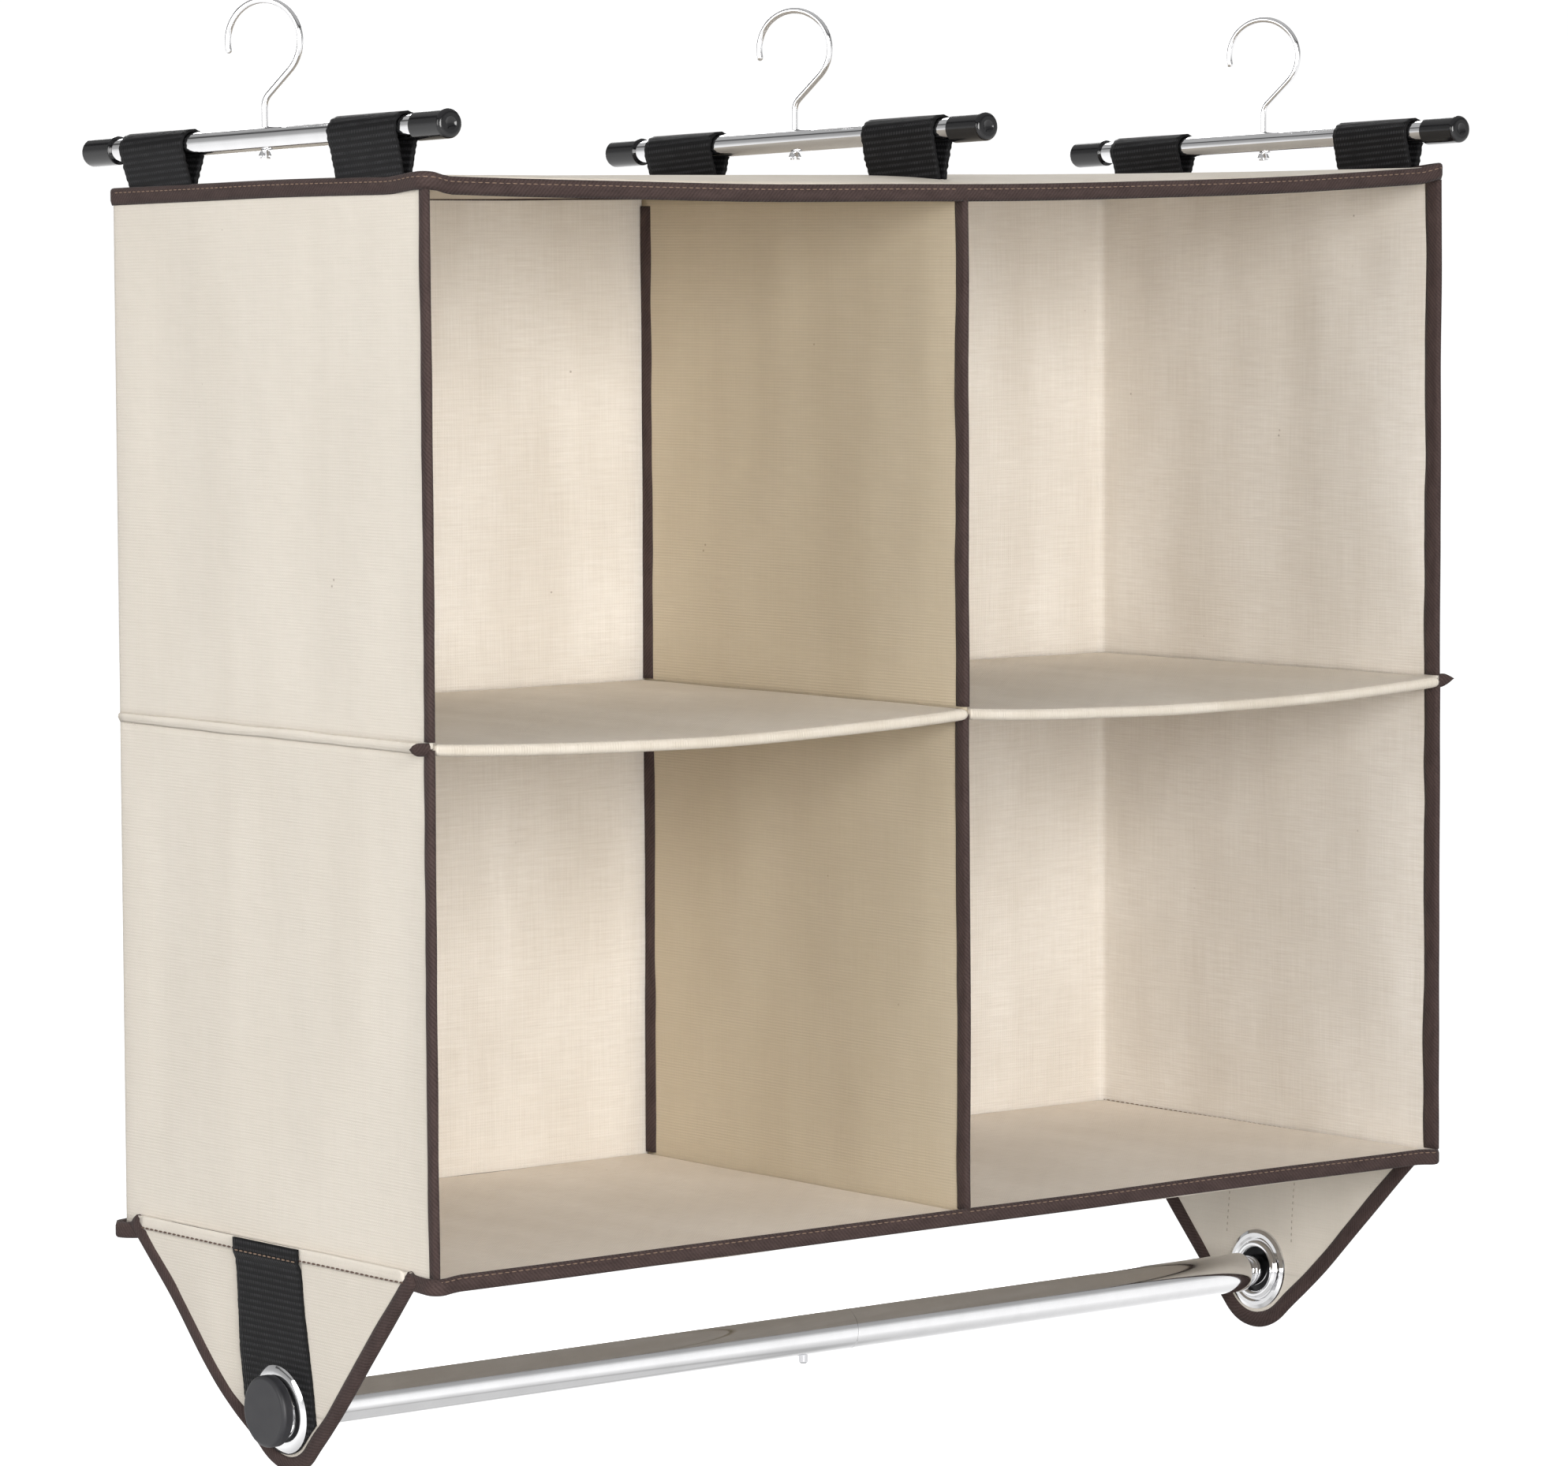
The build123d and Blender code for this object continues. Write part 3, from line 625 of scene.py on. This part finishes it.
def boarded_panels():
    top_middle = TOP - SLEEVE / 2 + 0.0006
    panel("top_panel", (LEFT + 0.0005, RIGHT - 0.0005), (FRONT + 0.0002, BACK - 0.0004), top_middle,
          SLEEVE + 0.0008, PANEL, "case", "top_sleeve", crown=0.0062)
    low, high = corners("top_board")
    panel("top_board_inside", (low.x + 0.004, high.x - 0.004), (low.y + 0.004, high.y - 0.004), top_middle,
          BOARD_THICK, BOARD, "case", "top_board", crown=0.0058, round_rim=0.0004)
    for name, side in SIDES:
        drift = (0, 1) if side < 0 else (1, 0)
        for floor, node, sag, body, reach, cloth in (
                (FLOOR, f"floor_{name}", 0.0016, "base", 0.0008, FLOOR_PANEL_PAINTED_LIGHT),
                (SHELF - SLEEVE, f"shelf_{name}", SHELF_SAG, "shelves", 0.0024, PANEL)):
            low, high = corners(f"{node}_sleeve")
            middle = floor + SLEEVE / 2
            panel(f"{node}_cloth", (low.x, high.x), (FRONT - reach, high.y), middle, SLEEVE, cloth, body,
                  f"{node}_sleeve", sag=sag, drift=drift)
            low, high = corners(f"{node}_board")
            panel(f"{node}_board_inside", (low.x + 0.003, high.x - 0.003), (low.y + 0.003, high.y - 0.003),
                  middle, BOARD_THICK, BOARD, body, f"{node}_board", sag=sag * 0.85,
                  round_rim=0.0004, drift=drift)


# ---- edge tapes ----

def upright_tape(name, x, y, z_low, z_high, inward, laps, body, node, seed, lean=None):
    """A tape folded round an upright edge. inward is +1 if the cloth runs towards +Y from the edge."""
    outline = hairpin(laps[0], laps[1], CLOTH / 2 + TAPE)
    rings = []
    for z in spread(z_low, z_high, 0.004):
        sway = Vector((soft(z * 16, 0, 0, seed) * 0.0005, soft(z * 22, 1, 0, seed) * 0.0004, 0))
        pinch = 1.0 + soft(z * 35, 2, 0, seed) * 0.09
        ring = []
        for across, depth in outline:
            place = Vector((x + across * pinch, y + inward * (depth * pinch - TAPE), z)) + sway
            if lean:
                place.x += lean(place.y)
            place.z += rise(x, y) * ease((z - TOP + 0.16) / 0.16)
            ring.append(place)
        rings.append(ring)
    return skin(name, rings, TWILL, body, "binding_tape", [node])


def upright_tapes():
    for level, body, seed in (("upper", "case", 1), ("lower", "shelves", 2)):
        for name, side in SIDES:
            low, high = corners(f"{name}_front_binding_{level}")
            x = side * (HALF - CLOTH / 2)
            laps = (0.0078, 0.0064) if side < 0 else (0.0068, 0.0105)
            upright_tape(f"front_tape_{name}_{level}", x, FRONT, low.z - 0.0016, high.z + 0.003, 1, laps,
                         body, f"{name}_front_binding_{level}", seed + 10 * side)
        low, high = corners(f"divider_front_binding_{level}")
        upright_tape(f"divider_front_tape_{level}", 0.0, FRONT, low.z - 0.0016, high.z + 0.003, 1,
                     (0.0085, 0.0085), body, f"divider_front_binding_{level}", seed + 40)
        low, high = corners(f"divider_rear_binding_{level}")
        upright_tape(f"divider_rear_tape_{level}", 0.0, BACK - CLOTH - TAPE, low.z - 0.0012, high.z, -1,
                     (0.0088, 0.0088), body, f"divider_rear_binding_{level}", seed + 50, lean=divider_drift)


def rim_path(step):
    """Points and outward directions anticlockwise round the case from the middle of its front."""
    half_w, half_d = HALF - CORNER, (BACK - FRONT) / 2 - CORNER
    middle_y = (FRONT + BACK) / 2
    points = []
    legs = ((0, -1), (1, 0), (0, 1), (-1, 0))
    centres = ((half_w, -half_d), (half_w, half_d), (-half_w, half_d), (-half_w, -half_d))
    previous = (0.0, -half_d)
    for leg, centre in zip(legs + legs[:1], centres + ((0.0, -half_d),)):
        out = Vector((leg[0], leg[1], 0))
        a = Vector((previous[0], previous[1] + middle_y, 0)) + out * CORNER
        b = Vector((centre[0], centre[1] + middle_y, 0)) + out * CORNER
        for share in spread(0, 1, step / max((b - a).length, step)):
            points.append((a.lerp(b, share), out))
        if centre[0]:
            for k in range(1, 6):
                turned = Matrix.Rotation(pi / 2 * k / 6, 3, "Z") @ out
                points.append((Vector((centre[0], centre[1] + middle_y, 0)) + turned * CORNER, turned))
        previous = centre
    return points[:-1]


def rim_place(point, out, seed, wave, z, at_top):
    """A point of a rim tape's middle line: waved, with a small ear where it turns a front corner."""
    ear = ease((abs(point.x) / HALF - 0.955) / 0.045) * ease((FRONT + 0.035 - point.y) / 0.035)
    spot = point + out * (ear * 0.0022 + soft(point.x * 19, point.y * 19, z * 30, seed) * 0.0003)
    spot.z = z + soft(point.x * 7, point.y * 7, 0, seed) * wave
    if at_top:
        spot.z += ear * 0.0022 + rise(point.x, point.y)
    else:
        slack = ease(1 - hypot(point.x + HALF, point.y - BACK) / 0.05)
        spot += Vector((-0.0034, 0.0028, -0.0048)) * slack + Vector((0, 0, -0.0008)) * ear
    return spot


def rim_tape(name, z_edge, upward, laps, body, node, seed, wave=0.0012):
    """A tape folded over the top or bottom rim; its nose points up or down."""
    outline = hairpin(laps[0], laps[1], 0.0018)
    rings = []
    for point, out in rim_path(0.005):
        spot = rim_place(point, out, seed, wave, z_edge, upward > 0)
        up = Vector((0, 0, upward))
        rings.append([spot + out * (across - 0.0006) - up * depth for across, depth in outline])
    return skin(name, rings, TWILL, body, "binding_tape", [node], closed=True)


def rim_stitches(name, z, seed, body, wave, at_top):
    """The visible thread along a rim tape's outer face; the tabs cover it on the floor's sides."""
    path = []
    for point, out in rim_path(0.004):
        if at_top or abs(out.x) < 0.5:
            path.append(rim_place(point, out, seed, wave, z, at_top) + out * 0.0012)

    def outward(place):
        if place.y < FRONT + 0.003:
            return Vector((0, -1, 0))
        if place.y > BACK - 0.003:
            return Vector((0, 1, 0))
        return Vector((1 if place.x > 0 else -1, 0, 0))

    return stitches(name, path, outward, body)


def welts():
    """The rolled seam round the case at the shelves."""
    outline = oval(0.0012, 0.0026, 12)
    rings = []
    for point, out in (wrap(d) for d in spread(0.011, WRAP_LENGTH - 0.011, 0.005)):
        z = SPLIT + soft(point.x * 12, point.y * 12, 0, 21) * 0.0011
        swell = 1 + soft(point.x * 30, point.y * 30, 0, 22) * 0.25
        ring = []
        for across, up in outline:
            spot = point + out * (CLOTH / 2 + 0.0006 + across * swell)
            ring.append(Vector((spot.x, spot.y, z + up * swell + (0.0008 if across > 0 and up < 0 else 0.0))))
        rings.append(ring)
    skin("shelf_seam", rings, OUTER, "shelves", "canvas", ["shelf_seam_welts"])


def tape_ends():
    """The ends of the shelf tape that stick out at the front corners: one round, one pointed."""
    low, high = corners("shelf_tape_ends")
    z = (low.z + high.z) / 2
    for name, side in SIDES:
        rings = []
        steps = 10
        for k in range(steps + 1):
            u = k / steps
            if side < 0:
                tall = 0.0033 * sqrt(max(1 - max(u - 0.55, 0) ** 2 / 0.2026, 0.002))
            else:
                tall = 0.0036 * sin(pi * (0.25 + 0.75 * u)) ** 0.8 + 0.0002
            x = side * (HALF - 0.001 + (0.0112 + 0.001) * u)
            centre = Vector((x, FRONT + 0.0022 - 0.0012 * u, z + (0.0006 if side < 0 else 0.0012) * u))
            rings.append([centre + Vector((0, across, up)) for across, up in oval(0.0019, tall, 12)])
        nodes = ["shelf_tape_ends"] if side < 0 else []
        skin(f"tape_end_{name}", rings, TWILL, "shelves", "binding_tape", nodes)


# ---- webbing loops ----

def loop_line(foot_z, leg_steps=40, over_steps=30):
    """The middle line of a webbing loop round a bar at the origin, as (point, outward) in (x, z)."""
    radius = BAR_RADIUS + 0.0004 + WEB_THICK / 2
    foot = Vector((WEB_THICK * 0.62, foot_z))
    lean = acos(radius / foot.length) + atan2(foot.y, foot.x)
    touch = Vector((radius * cos(lean), radius * sin(lean)))
    leg = [(foot.lerp(touch, k / leg_steps), Vector((cos(lean), sin(lean)))) for k in range(leg_steps + 1)]
    over = []
    for k in range(1, over_steps):
        turn = lean + (pi - 2 * lean) * k / over_steps
        over.append((Vector((radius * cos(turn), radius * sin(turn))), Vector((cos(turn), sin(turn)))))
    return leg + over + [(Vector((-p.x, p.y)), Vector((-n.x, n.y))) for p, n in reversed(leg)]


def webbing_loop(name, where, seed):
    """A ribbed webbing loop over a bar, its two legs closing on the case."""
    low, high = corners(f"loop_{name}_{where}")
    y_middle = (low.y + high.y) / 2
    bar_x = BARS[name]
    slope = BAR_AXIS.z / BAR_AXIS.y
    grid = []
    half_width = WEB_WIDTH / 2
    for across in spread(-half_width, half_width, 0.003):
        y = y_middle + across
        rise = slope * y
        row = []
        length = 0.0
        line = loop_line(TOP + 0.0012 - BAR_Z - rise)
        previous = line[0][0]
        for point, out in line:
            length += (point - previous).length
            previous = point
            rib = 0.5 + 0.5 * cos(2 * pi * length / WEB_RIB)
            low_down = ease((BAR_RADIUS - 0.001 - point.y - 0.004) / 0.016)
            slack = soft(across * 30, point.y * 60, 0, seed) * 0.0009 * low_down
            edge = 0.0006 * soft(length * 400, 0, 0, seed) if half_width - abs(across) < 0.001 else 0.0
            place = Vector((bar_x + point.x + out.x * slack, y + edge,
                            BAR_Z + rise + point.y + out.y * slack))
            thick = WEB_THICK / 2 * (0.76 + 0.36 * rib)
            row.append((place, Vector((out.x, 0, out.y)), thick, (across, length)))
        grid.append(row)
    slab(f"webbing_loop_{name}_{where}", grid, WEBBING, "case", [f"loop_{name}_{where}"])


# ---- tabs ----

def tab_swell(y, z, side):
    """How far the tab's sides round out beyond straight edges, the left tab's rear side most."""
    amount = 0.007 if side < 0 < y else 0.0022
    level = ease((z - ROD_Z + 0.034) / 0.040) * (1 - ease((z - ROD_Z - 0.002) / 0.078))
    return (amount if y > 0 else -amount) * level * ease((abs(y) - 0.020) / 0.018)


def hang_inwards(piece, side):
    """Rounds out a finished tab piece and leans the part of it below the fold."""
    turn = Matrix.Rotation(side * TAB_LEAN, 3, "Y")
    fold = Vector((side * TAB_FOLD.x, 0, TAB_FOLD.z))
    for point in piece.data.vertices:
        point.co.y += tab_swell(point.co.y, point.co.z, side)
        if point.co.z < fold.z:
            point.co = fold + turn @ (point.co - fold)
    return piece


def tab_thread(name, line, side, facing, **look):
    hang_inwards(stitches(name, line, Vector((facing, 0, 0)), "base", **look), side)


def tab_lean():
    """Angle of the normal of a tab's slanted edge over the horizontal."""
    drop = FLOOR - ROD_Z
    return atan2(drop, TAB_HALF) - acos(TAB_ROUND / hypot(drop, TAB_HALF))


def tab_edge(z, radius):
    """Half width at height z over the rod of a tab with the given round end."""
    lean = tab_lean()
    if z >= radius * sin(lean):
        return radius * cos(lean) - (z - radius * sin(lean)) * tan(lean)
    return sqrt(max(radius**2 - z**2, 0.0))


def tab_bow(y, z, side):
    """How far a tab's cloth stands out of its plane."""
    hang = (FLOOR - z) / (FLOOR - ROD_Z + TAB_ROUND)
    spread_out = min(abs(y) / 0.1, 1)
    calm = ease((hypot(y, z - ROD_Z) - 0.022) / 0.02)
    return side * calm * ease(hang * 3) * (soft(y * 22, z * 9, side, 31) * 0.0022 - 0.0006 * spread_out)


def tab_cloth(name, side):
    """The triangular canvas tab, ringed round its grommet hole, up to its hem."""
    top = FLOOR + HEM - ROD_Z
    nip = 0.009                   # the corners are cut back under the hem
    corner_angle = atan2(top, tab_edge(top, TAB_ROUND) - nip)
    angles = sorted([corner_angle, pi - corner_angle] + [-pi + 2 * pi * k / 150 + 0.001 for k in range(150)])
    rings = 22
    grid = []
    for angle in angles + angles[:1]:
        direction = Vector((cos(angle), sin(angle)))
        reach = GROMMET_HOLE
        while reach < 0.2:
            z = direction.y * reach
            inside = tab_edge(z, TAB_ROUND) - nip * min(max((z - top) / HEM + 1.1, 0), 1)
            if z > top or abs(direction.x) * reach > inside:
                break
            reach += 0.0004
        if direction.y > 0 and abs(direction.x) * top / direction.y <= tab_edge(top, TAB_ROUND) - nip:
            reach = top / direction.y
        row = []
        for k in range(rings + 1):
            r = GROMMET_HOLE + (reach - GROMMET_HOLE) * k / rings
            y, z = direction.x * r, ROD_Z + direction.y * r
            x = side * (TAB_IN + CLOTH / 2) + tab_bow(y, z, side)
            row.append((Vector((x, y, z)), Vector((side, 0, 0)), CLOTH / 2, (y, z)))
        grid.append(row)
    cloth = slab(f"tab_cloth_{name}", grid, OUTER, "base", [f"tab_{name}"], weld=True)
    return hang_inwards(cloth, side)


def tab_outline_path(radius, top, step=0.004):
    """Points down one slanted edge, round the end and up the other, as (y, z, outward angle)."""
    lean = tab_lean()
    touch = (radius * cos(lean), radius * sin(lean))
    start = tab_edge(top, radius)
    count = ceil(hypot(start - touch[0], top - touch[1]) / step)
    down = []
    for k in range(count):
        down.append((start + (touch[0] - start) * k / count, top + (touch[1] - top) * k / count, lean))
    turns = [lean - (pi + 2 * lean) * k / 36 for k in range(37)]
    arc = [(radius * cos(angle), radius * sin(angle), angle) for angle in turns]
    return down + arc + [(-y, z, pi - angle) for y, z, angle in reversed(down)]


def tab_tape(name, side):
    """The tape folded round the tab's free edge, from hem to hem."""
    outline = hairpin(0.0084, 0.0084, CLOTH / 2 + TAPE)
    rings = []
    for y, z, angle in tab_outline_path(TAB_ROUND + 0.0012, FLOOR + 0.0025 - ROD_Z):
        ring = []
        out = Vector((0, cos(angle), sin(angle)))
        wobble = 1 + soft(y * 40, z * 40, side, 33) * 0.06
        for across, depth in outline:
            place = Vector((side * (TAB_IN + CLOTH / 2), y, ROD_Z + z)) - out * depth * wobble
            place.x += side * across + tab_bow(place.y, place.z, side)
            ring.append(place)
        rings.append(ring)
    nodes = ["tab_bindings"] if side < 0 else []
    hang_inwards(skin(f"tab_tape_{name}", rings, TWILL, "base", "binding_tape", nodes), side)


def tab_hem(name, side):
    """The tab's folded top edge, sewn over the outside of the floor tape."""
    half = tab_edge(FLOOR + HEM * 0.3 - ROD_Z, TAB_ROUND) - 0.007
    outline = oval(0.0003, HEM / 2, 10)
    rings = []
    for y in spread(-half, half, 0.004):
        ends = 1 - 0.5 * ease((abs(y) - half + 0.004) / 0.004)
        x = side * (TAB_OUT + 0.0005 + soft(y * 25, 0, side, 35) * 0.0003)
        z = FLOOR + HEM * 0.62 + soft(y * 12, 3, side, 36) * 0.0006
        ring = []
        for across, up in outline:
            pull = 1.0 if abs(up) < HEM * 0.45 else 0.96
            ring.append(Vector((x + side * across * ends, y, z + up * ends * pull)))
        rings.append(ring)
    hang_inwards(skin(f"tab_hem_{name}", rings, OUTER, "base", "canvas"), side)
    line = [Vector((side * (TAB_OUT + 0.0012), y, FLOOR + HEM * 0.30 + soft(y * 12, 3, side, 36) * 0.0006))
            for y in spread(-half, half, 0.004)]
    tab_thread(f"tab_hem_thread_{name}", line, side, side, material=THREAD_DARK, fat=0.0005)


def tab_strap(name, side):
    """Webbing down the outside of the tab, folded over the hem at its top."""
    grid = []
    half = WEB_WIDTH / 2
    top = FLOOR + HEM * 1.05
    across_values = spread(-half, half, 0.0025)
    for y in across_values:
        row = []
        reach = TAB_ROUND - 0.0085
        lean = tab_lean()
        if abs(y) < reach * cos(lean):
            low = ROD_Z - sqrt(reach**2 - y**2)
        else:
            low = ROD_Z + reach * sin(lean) + (abs(y) - reach * cos(lean)) / -tan(lean)
        for z in spread(low, top, 0.0011):
            length = top - z
            rib = 0.5 + 0.5 * cos(2 * pi * length / WEB_RIB)
            over_hem = 0.0016 * ease((z - FLOOR + 0.003) / 0.004)
            x = side * (TAB_OUT + WEB_THICK / 2 + over_hem + 0.0001) + tab_bow(y, z, side)
            place = Vector((x, y + 0.0003 * soft(z * 300, 0, 0, 37), z))
            row.append((place, Vector((side, 0, 0)), WEB_THICK / 2 * (0.86 + 0.18 * rib), (y, length)))
        grid.append(row)
    longest = max(len(row) for row in grid)
    grid = [resampled(row, longest) for row in grid]

    def in_hole(i, j):
        middle = (grid[i][j][0] + grid[i + 1][j + 1][0]) / 2
        return hypot(middle.y, middle.z - ROD_Z) < 0.0158

    nodes = ["tab_straps"] if side < 0 else []
    hang_inwards(slab(f"tab_webbing_{name}", grid, WEBBING, "base", nodes, skip=in_hole), side)
    x = side * (TAB_OUT + WEB_THICK * 1.1 + 0.0018)
    line = [Vector((x, y, FLOOR + HEM * 0.24)) for y in spread(-half + 0.001, half - 0.001, 0.004)]
    tab_thread(f"tab_strap_thread_{name}", line, side, side, fat=0.00038)


def resampled(row, count):
    """The same row of cloth points with another number of points."""
    made = []
    for k in range(count):
        spot = k * (len(row) - 1) / (count - 1)
        i = min(int(spot), len(row) - 2)
        share = spot - i
        a, b = row[i], row[i + 1]
        made.append((a[0].lerp(b[0], share), a[1], a[2] + (b[2] - a[2]) * share,
                     (a[3][0], a[3][1] + (b[3][1] - a[3][1]) * share)))
    return made


def tab_inner_seams(name, side):
    """Two rows of pale stitches on the inner face, where the webbing is sewn on outside."""
    for where, y in (("front", -WEB_WIDTH / 2 + 0.002), ("rear", WEB_WIDTH / 2 - 0.002)):
        line = []
        for z in spread(ROD_Z + 0.018, FLOOR - 0.002, 0.004):
            line.append(Vector((side * TAB_IN + tab_bow(y, z, side) - side * 0.0001, y, z)))
        tab_thread(f"tab_seam_{name}_{where}", line, side, -side, material=THREAD_PALE, pitch=0.0036,
                   dash=0.0018)


# ---- metal and plastic ----

def finish_hard_parts():
    finishes = {"chrome": CHROME, "spring_steel": STEEL, "black_gloss_plastic": GLOSS_BLACK,
                "black_satin_plastic": SATIN_BLACK}
    slots = {part["node"]: part["material_slot"] for part in frame["record"]["subparts"]}
    for node, piece in frame["nodes"].items():
        for place in piece.material_slots:
            place.material = finishes.get(slots[node], place.material)


# ---- camera, light and floor ----

def camera():
    eye = Vector((-2.1968, -2.7142, -0.0868))
    yaw, pitch, roll = radians(38.867), radians(-4.560), radians(-0.281)
    data = bpy.data.cameras.new("camera")
    data.lens = 149.79
    data.sensor_width = 36.0
    data.sensor_fit = "HORIZONTAL"
    data.clip_end = 50.0
    made = placed("camera", data)
    tilt = Matrix.Rotation(pi / 2 + pitch, 4, "X") @ Matrix.Rotation(roll, 4, "Z")
    made.matrix_world = Matrix.Translation(eye) @ Matrix.Rotation(-yaw, 4, "Z") @ tilt
    bpy.context.scene.camera = made


def world():
    """A white tent: white to the eye, dimmer as light on the cloth, and banded for the metal to reflect."""
    made = bpy.data.worlds.new("tent")
    made.use_nodes = True
    tree = made.node_tree
    tree.nodes.clear()
    link = tree.links.new

    def by_height(stops):
        ramp = tree.nodes.new("ShaderNodeValToRGB")
        while len(ramp.color_ramp.elements) < len(stops):
            ramp.color_ramp.elements.new(0.5)
        for element, (place, value) in zip(ramp.color_ramp.elements, stops):
            element.position = place
            element.color = (value, value, value, 1)
        link(height.outputs["Result"], ramp.inputs["Fac"])
        background = tree.nodes.new("ShaderNodeBackground")
        link(ramp.outputs["Color"], background.inputs["Color"])
        return background.outputs[0]

    def either(factor, off, on):
        pick = tree.nodes.new("ShaderNodeMixShader")
        link(factor, pick.inputs["Fac"])
        link(off, pick.inputs[1])
        link(on, pick.inputs[2])
        return pick.outputs[0]

    coords = tree.nodes.new("ShaderNodeTexCoord")
    split = tree.nodes.new("ShaderNodeSeparateXYZ")
    link(coords.outputs["Generated"], split.inputs[0])
    height = tree.nodes.new("ShaderNodeMapRange")
    height.inputs["From Min"].default_value = -1.0
    link(split.outputs["Z"], height.inputs["Value"])
    ray = tree.nodes.new("ShaderNodeLightPath").outputs
    diffuse = by_height(((0.0, 0.26), (0.35, 0.32), (0.5, 0.42), (0.75, 0.46), (1.0, 0.46)))
    metal = by_height(((0.0, 0.42), (0.10, 0.60), (0.25, 0.90), (0.47, 1.0), (0.52, 0.80), (0.57, 0.50),
                       (0.66, 0.42), (0.70, 0.36), (0.715, 0.07), (0.74, 0.09), (0.765, 0.48), (0.90, 0.52),
                       (1.0, 0.60)))
    white = tree.nodes.new("ShaderNodeBackground")
    lit = either(ray["Is Glossy Ray"], diffuse, metal)
    out = tree.nodes.new("ShaderNodeOutputWorld")
    white.inputs["Color"].default_value = (1, 1, 1, 1)
    white.inputs["Strength"].default_value = 1.02
    link(either(ray["Is Camera Ray"], lit, white.outputs[0]), out.inputs["Surface"])
    bpy.context.scene.world = made


def lamp(name, place, target, size, power, tint=(1, 1, 1)):
    data = bpy.data.lights.new(name, "AREA")
    data.shape = "DISK"
    data.size = size
    data.energy = power
    data.color = tint
    made = placed(name, data)
    made.location = place
    made.rotation_euler = (Vector(target) - Vector(place)).to_track_quat("-Z", "Y").to_euler()


def studio():
    world()
    middle = (0, 0, (TOP + FLOOR) / 2)
    lamp("key", (-1.6, -3.2, 0.2), middle, 2.0, 118, (1.0, 0.99, 0.975))
    lamp("left", (-3.4, -0.2, 0.3), middle, 2.0, 35, (1.0, 0.99, 0.975))
    lamp("back", (1.5, 2.8, 0.8), middle, 2.5, 62)
    work = bmesh.new()
    bmesh.ops.create_circle(work, cap_ends=True, radius=14.0, segments=96)
    mesh = bpy.data.meshes.new("studio_floor")
    work.to_mesh(mesh)
    work.free()
    floor = placed("studio_floor", mesh)
    floor.location = (0, 0, cad_bounds[0][2] - 0.55)
    n = Nodes("studio_floor")
    grain = n.noise(n.scaled(3, 3), 2.0)
    ray = n.node("ShaderNodeLightPath").outputs
    place = n.node("ShaderNodeTexCoord").outputs["Object"]
    away = n.node("ShaderNodeVectorMath", {0: place}, operation="LENGTH").outputs["Value"]
    # For glossy rays the floor glows as a painted reflection: dim near its middle as a painted shadow under
    # the case, with a painted dark ring about 0.46 m out; to the eye it is an even white.
    ring = n.math("MULTIPLY", n.span(away, 0.38, 0.46), n.span(away, 0.46, 0.54, 0.22, 0.0))
    glossy_painted_glow = n.math("SUBTRACT", n.span(away, 0.50, 1.10, 0.44, 0.95), ring)
    seen = n.math("MAXIMUM", ray["Is Camera Ray"], n.math("MULTIPLY", ray["Is Glossy Ray"], glossy_painted_glow))
    n.put(n.shader.inputs["Emission Color"], rgb(1.0, 1.0, 1.0))
    n.put(n.shader.inputs["Emission Strength"], seen)
    shade = n.mix(n.span(grain, 0.2, 0.8), rgb(0.30, 0.30, 0.30), rgb(0.33, 0.33, 0.33))
    mesh.materials.append(n.finish(shade, 0.9, Specular_IOR_Level=0.0))
    bpy.context.scene.view_settings.view_transform = "Standard"


def gather(piece):
    """Gives a piece its own copy of its mesh."""
    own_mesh(piece)


# ---- make everything ----

camera()
studio()
finish_hard_parts()

LEVELS = (("upper", SPLIT, TOP, "case", "shelf_fold", 0.250, 1),
          ("lower", FLOOR, SPLIT, "shelves", "floor_fold", 0.244, 2))
for level, low, high, body, joint, travel, seed in LEVELS:
    walls = wall_wrap(level, low + 0.0004, high - 0.0008, body, seed)
    panel_between = divider(level, low + 0.0002, high - SLEEVE * 0.6, body, seed + 60)
boarded_panels()
upright_tapes()
for level, low, high, body, joint, travel, seed in LEVELS:
    for name in ("wall_wrap", "divider_panel", "divider_front_tape", "divider_rear_tape", "front_tape_left",
                 "front_tape_right"):
        gather(bpy.data.objects[f"{name}_{level}"])
rim_tape("top_tape", TOP + 0.0012, 1, (0.0090, 0.0060), "case", "top_binding", 4)
rim_stitches("top_tape_thread", TOP - 0.0014, 4, "case", 0.0012, True)
rim_tape("floor_tape", FLOOR - 0.0012, -1, (0.0088, 0.0060), "base", "floor_binding", 6, wave=0.0006)
rim_stitches("floor_tape_thread", FLOOR + 0.0058, 6, "base", 0.0006, False)
welts()
tape_ends()
for index, name in enumerate(BARS):
    webbing_loop(name, "front", 70 + index)
    webbing_loop(name, "rear", 80 + index)
for name, side in SIDES:
    cloth = tab_cloth(name, side)
    tab_tape(name, side)
    tab_hem(name, side)
    tab_strap(name, side)
    tab_inner_seams(name, side)
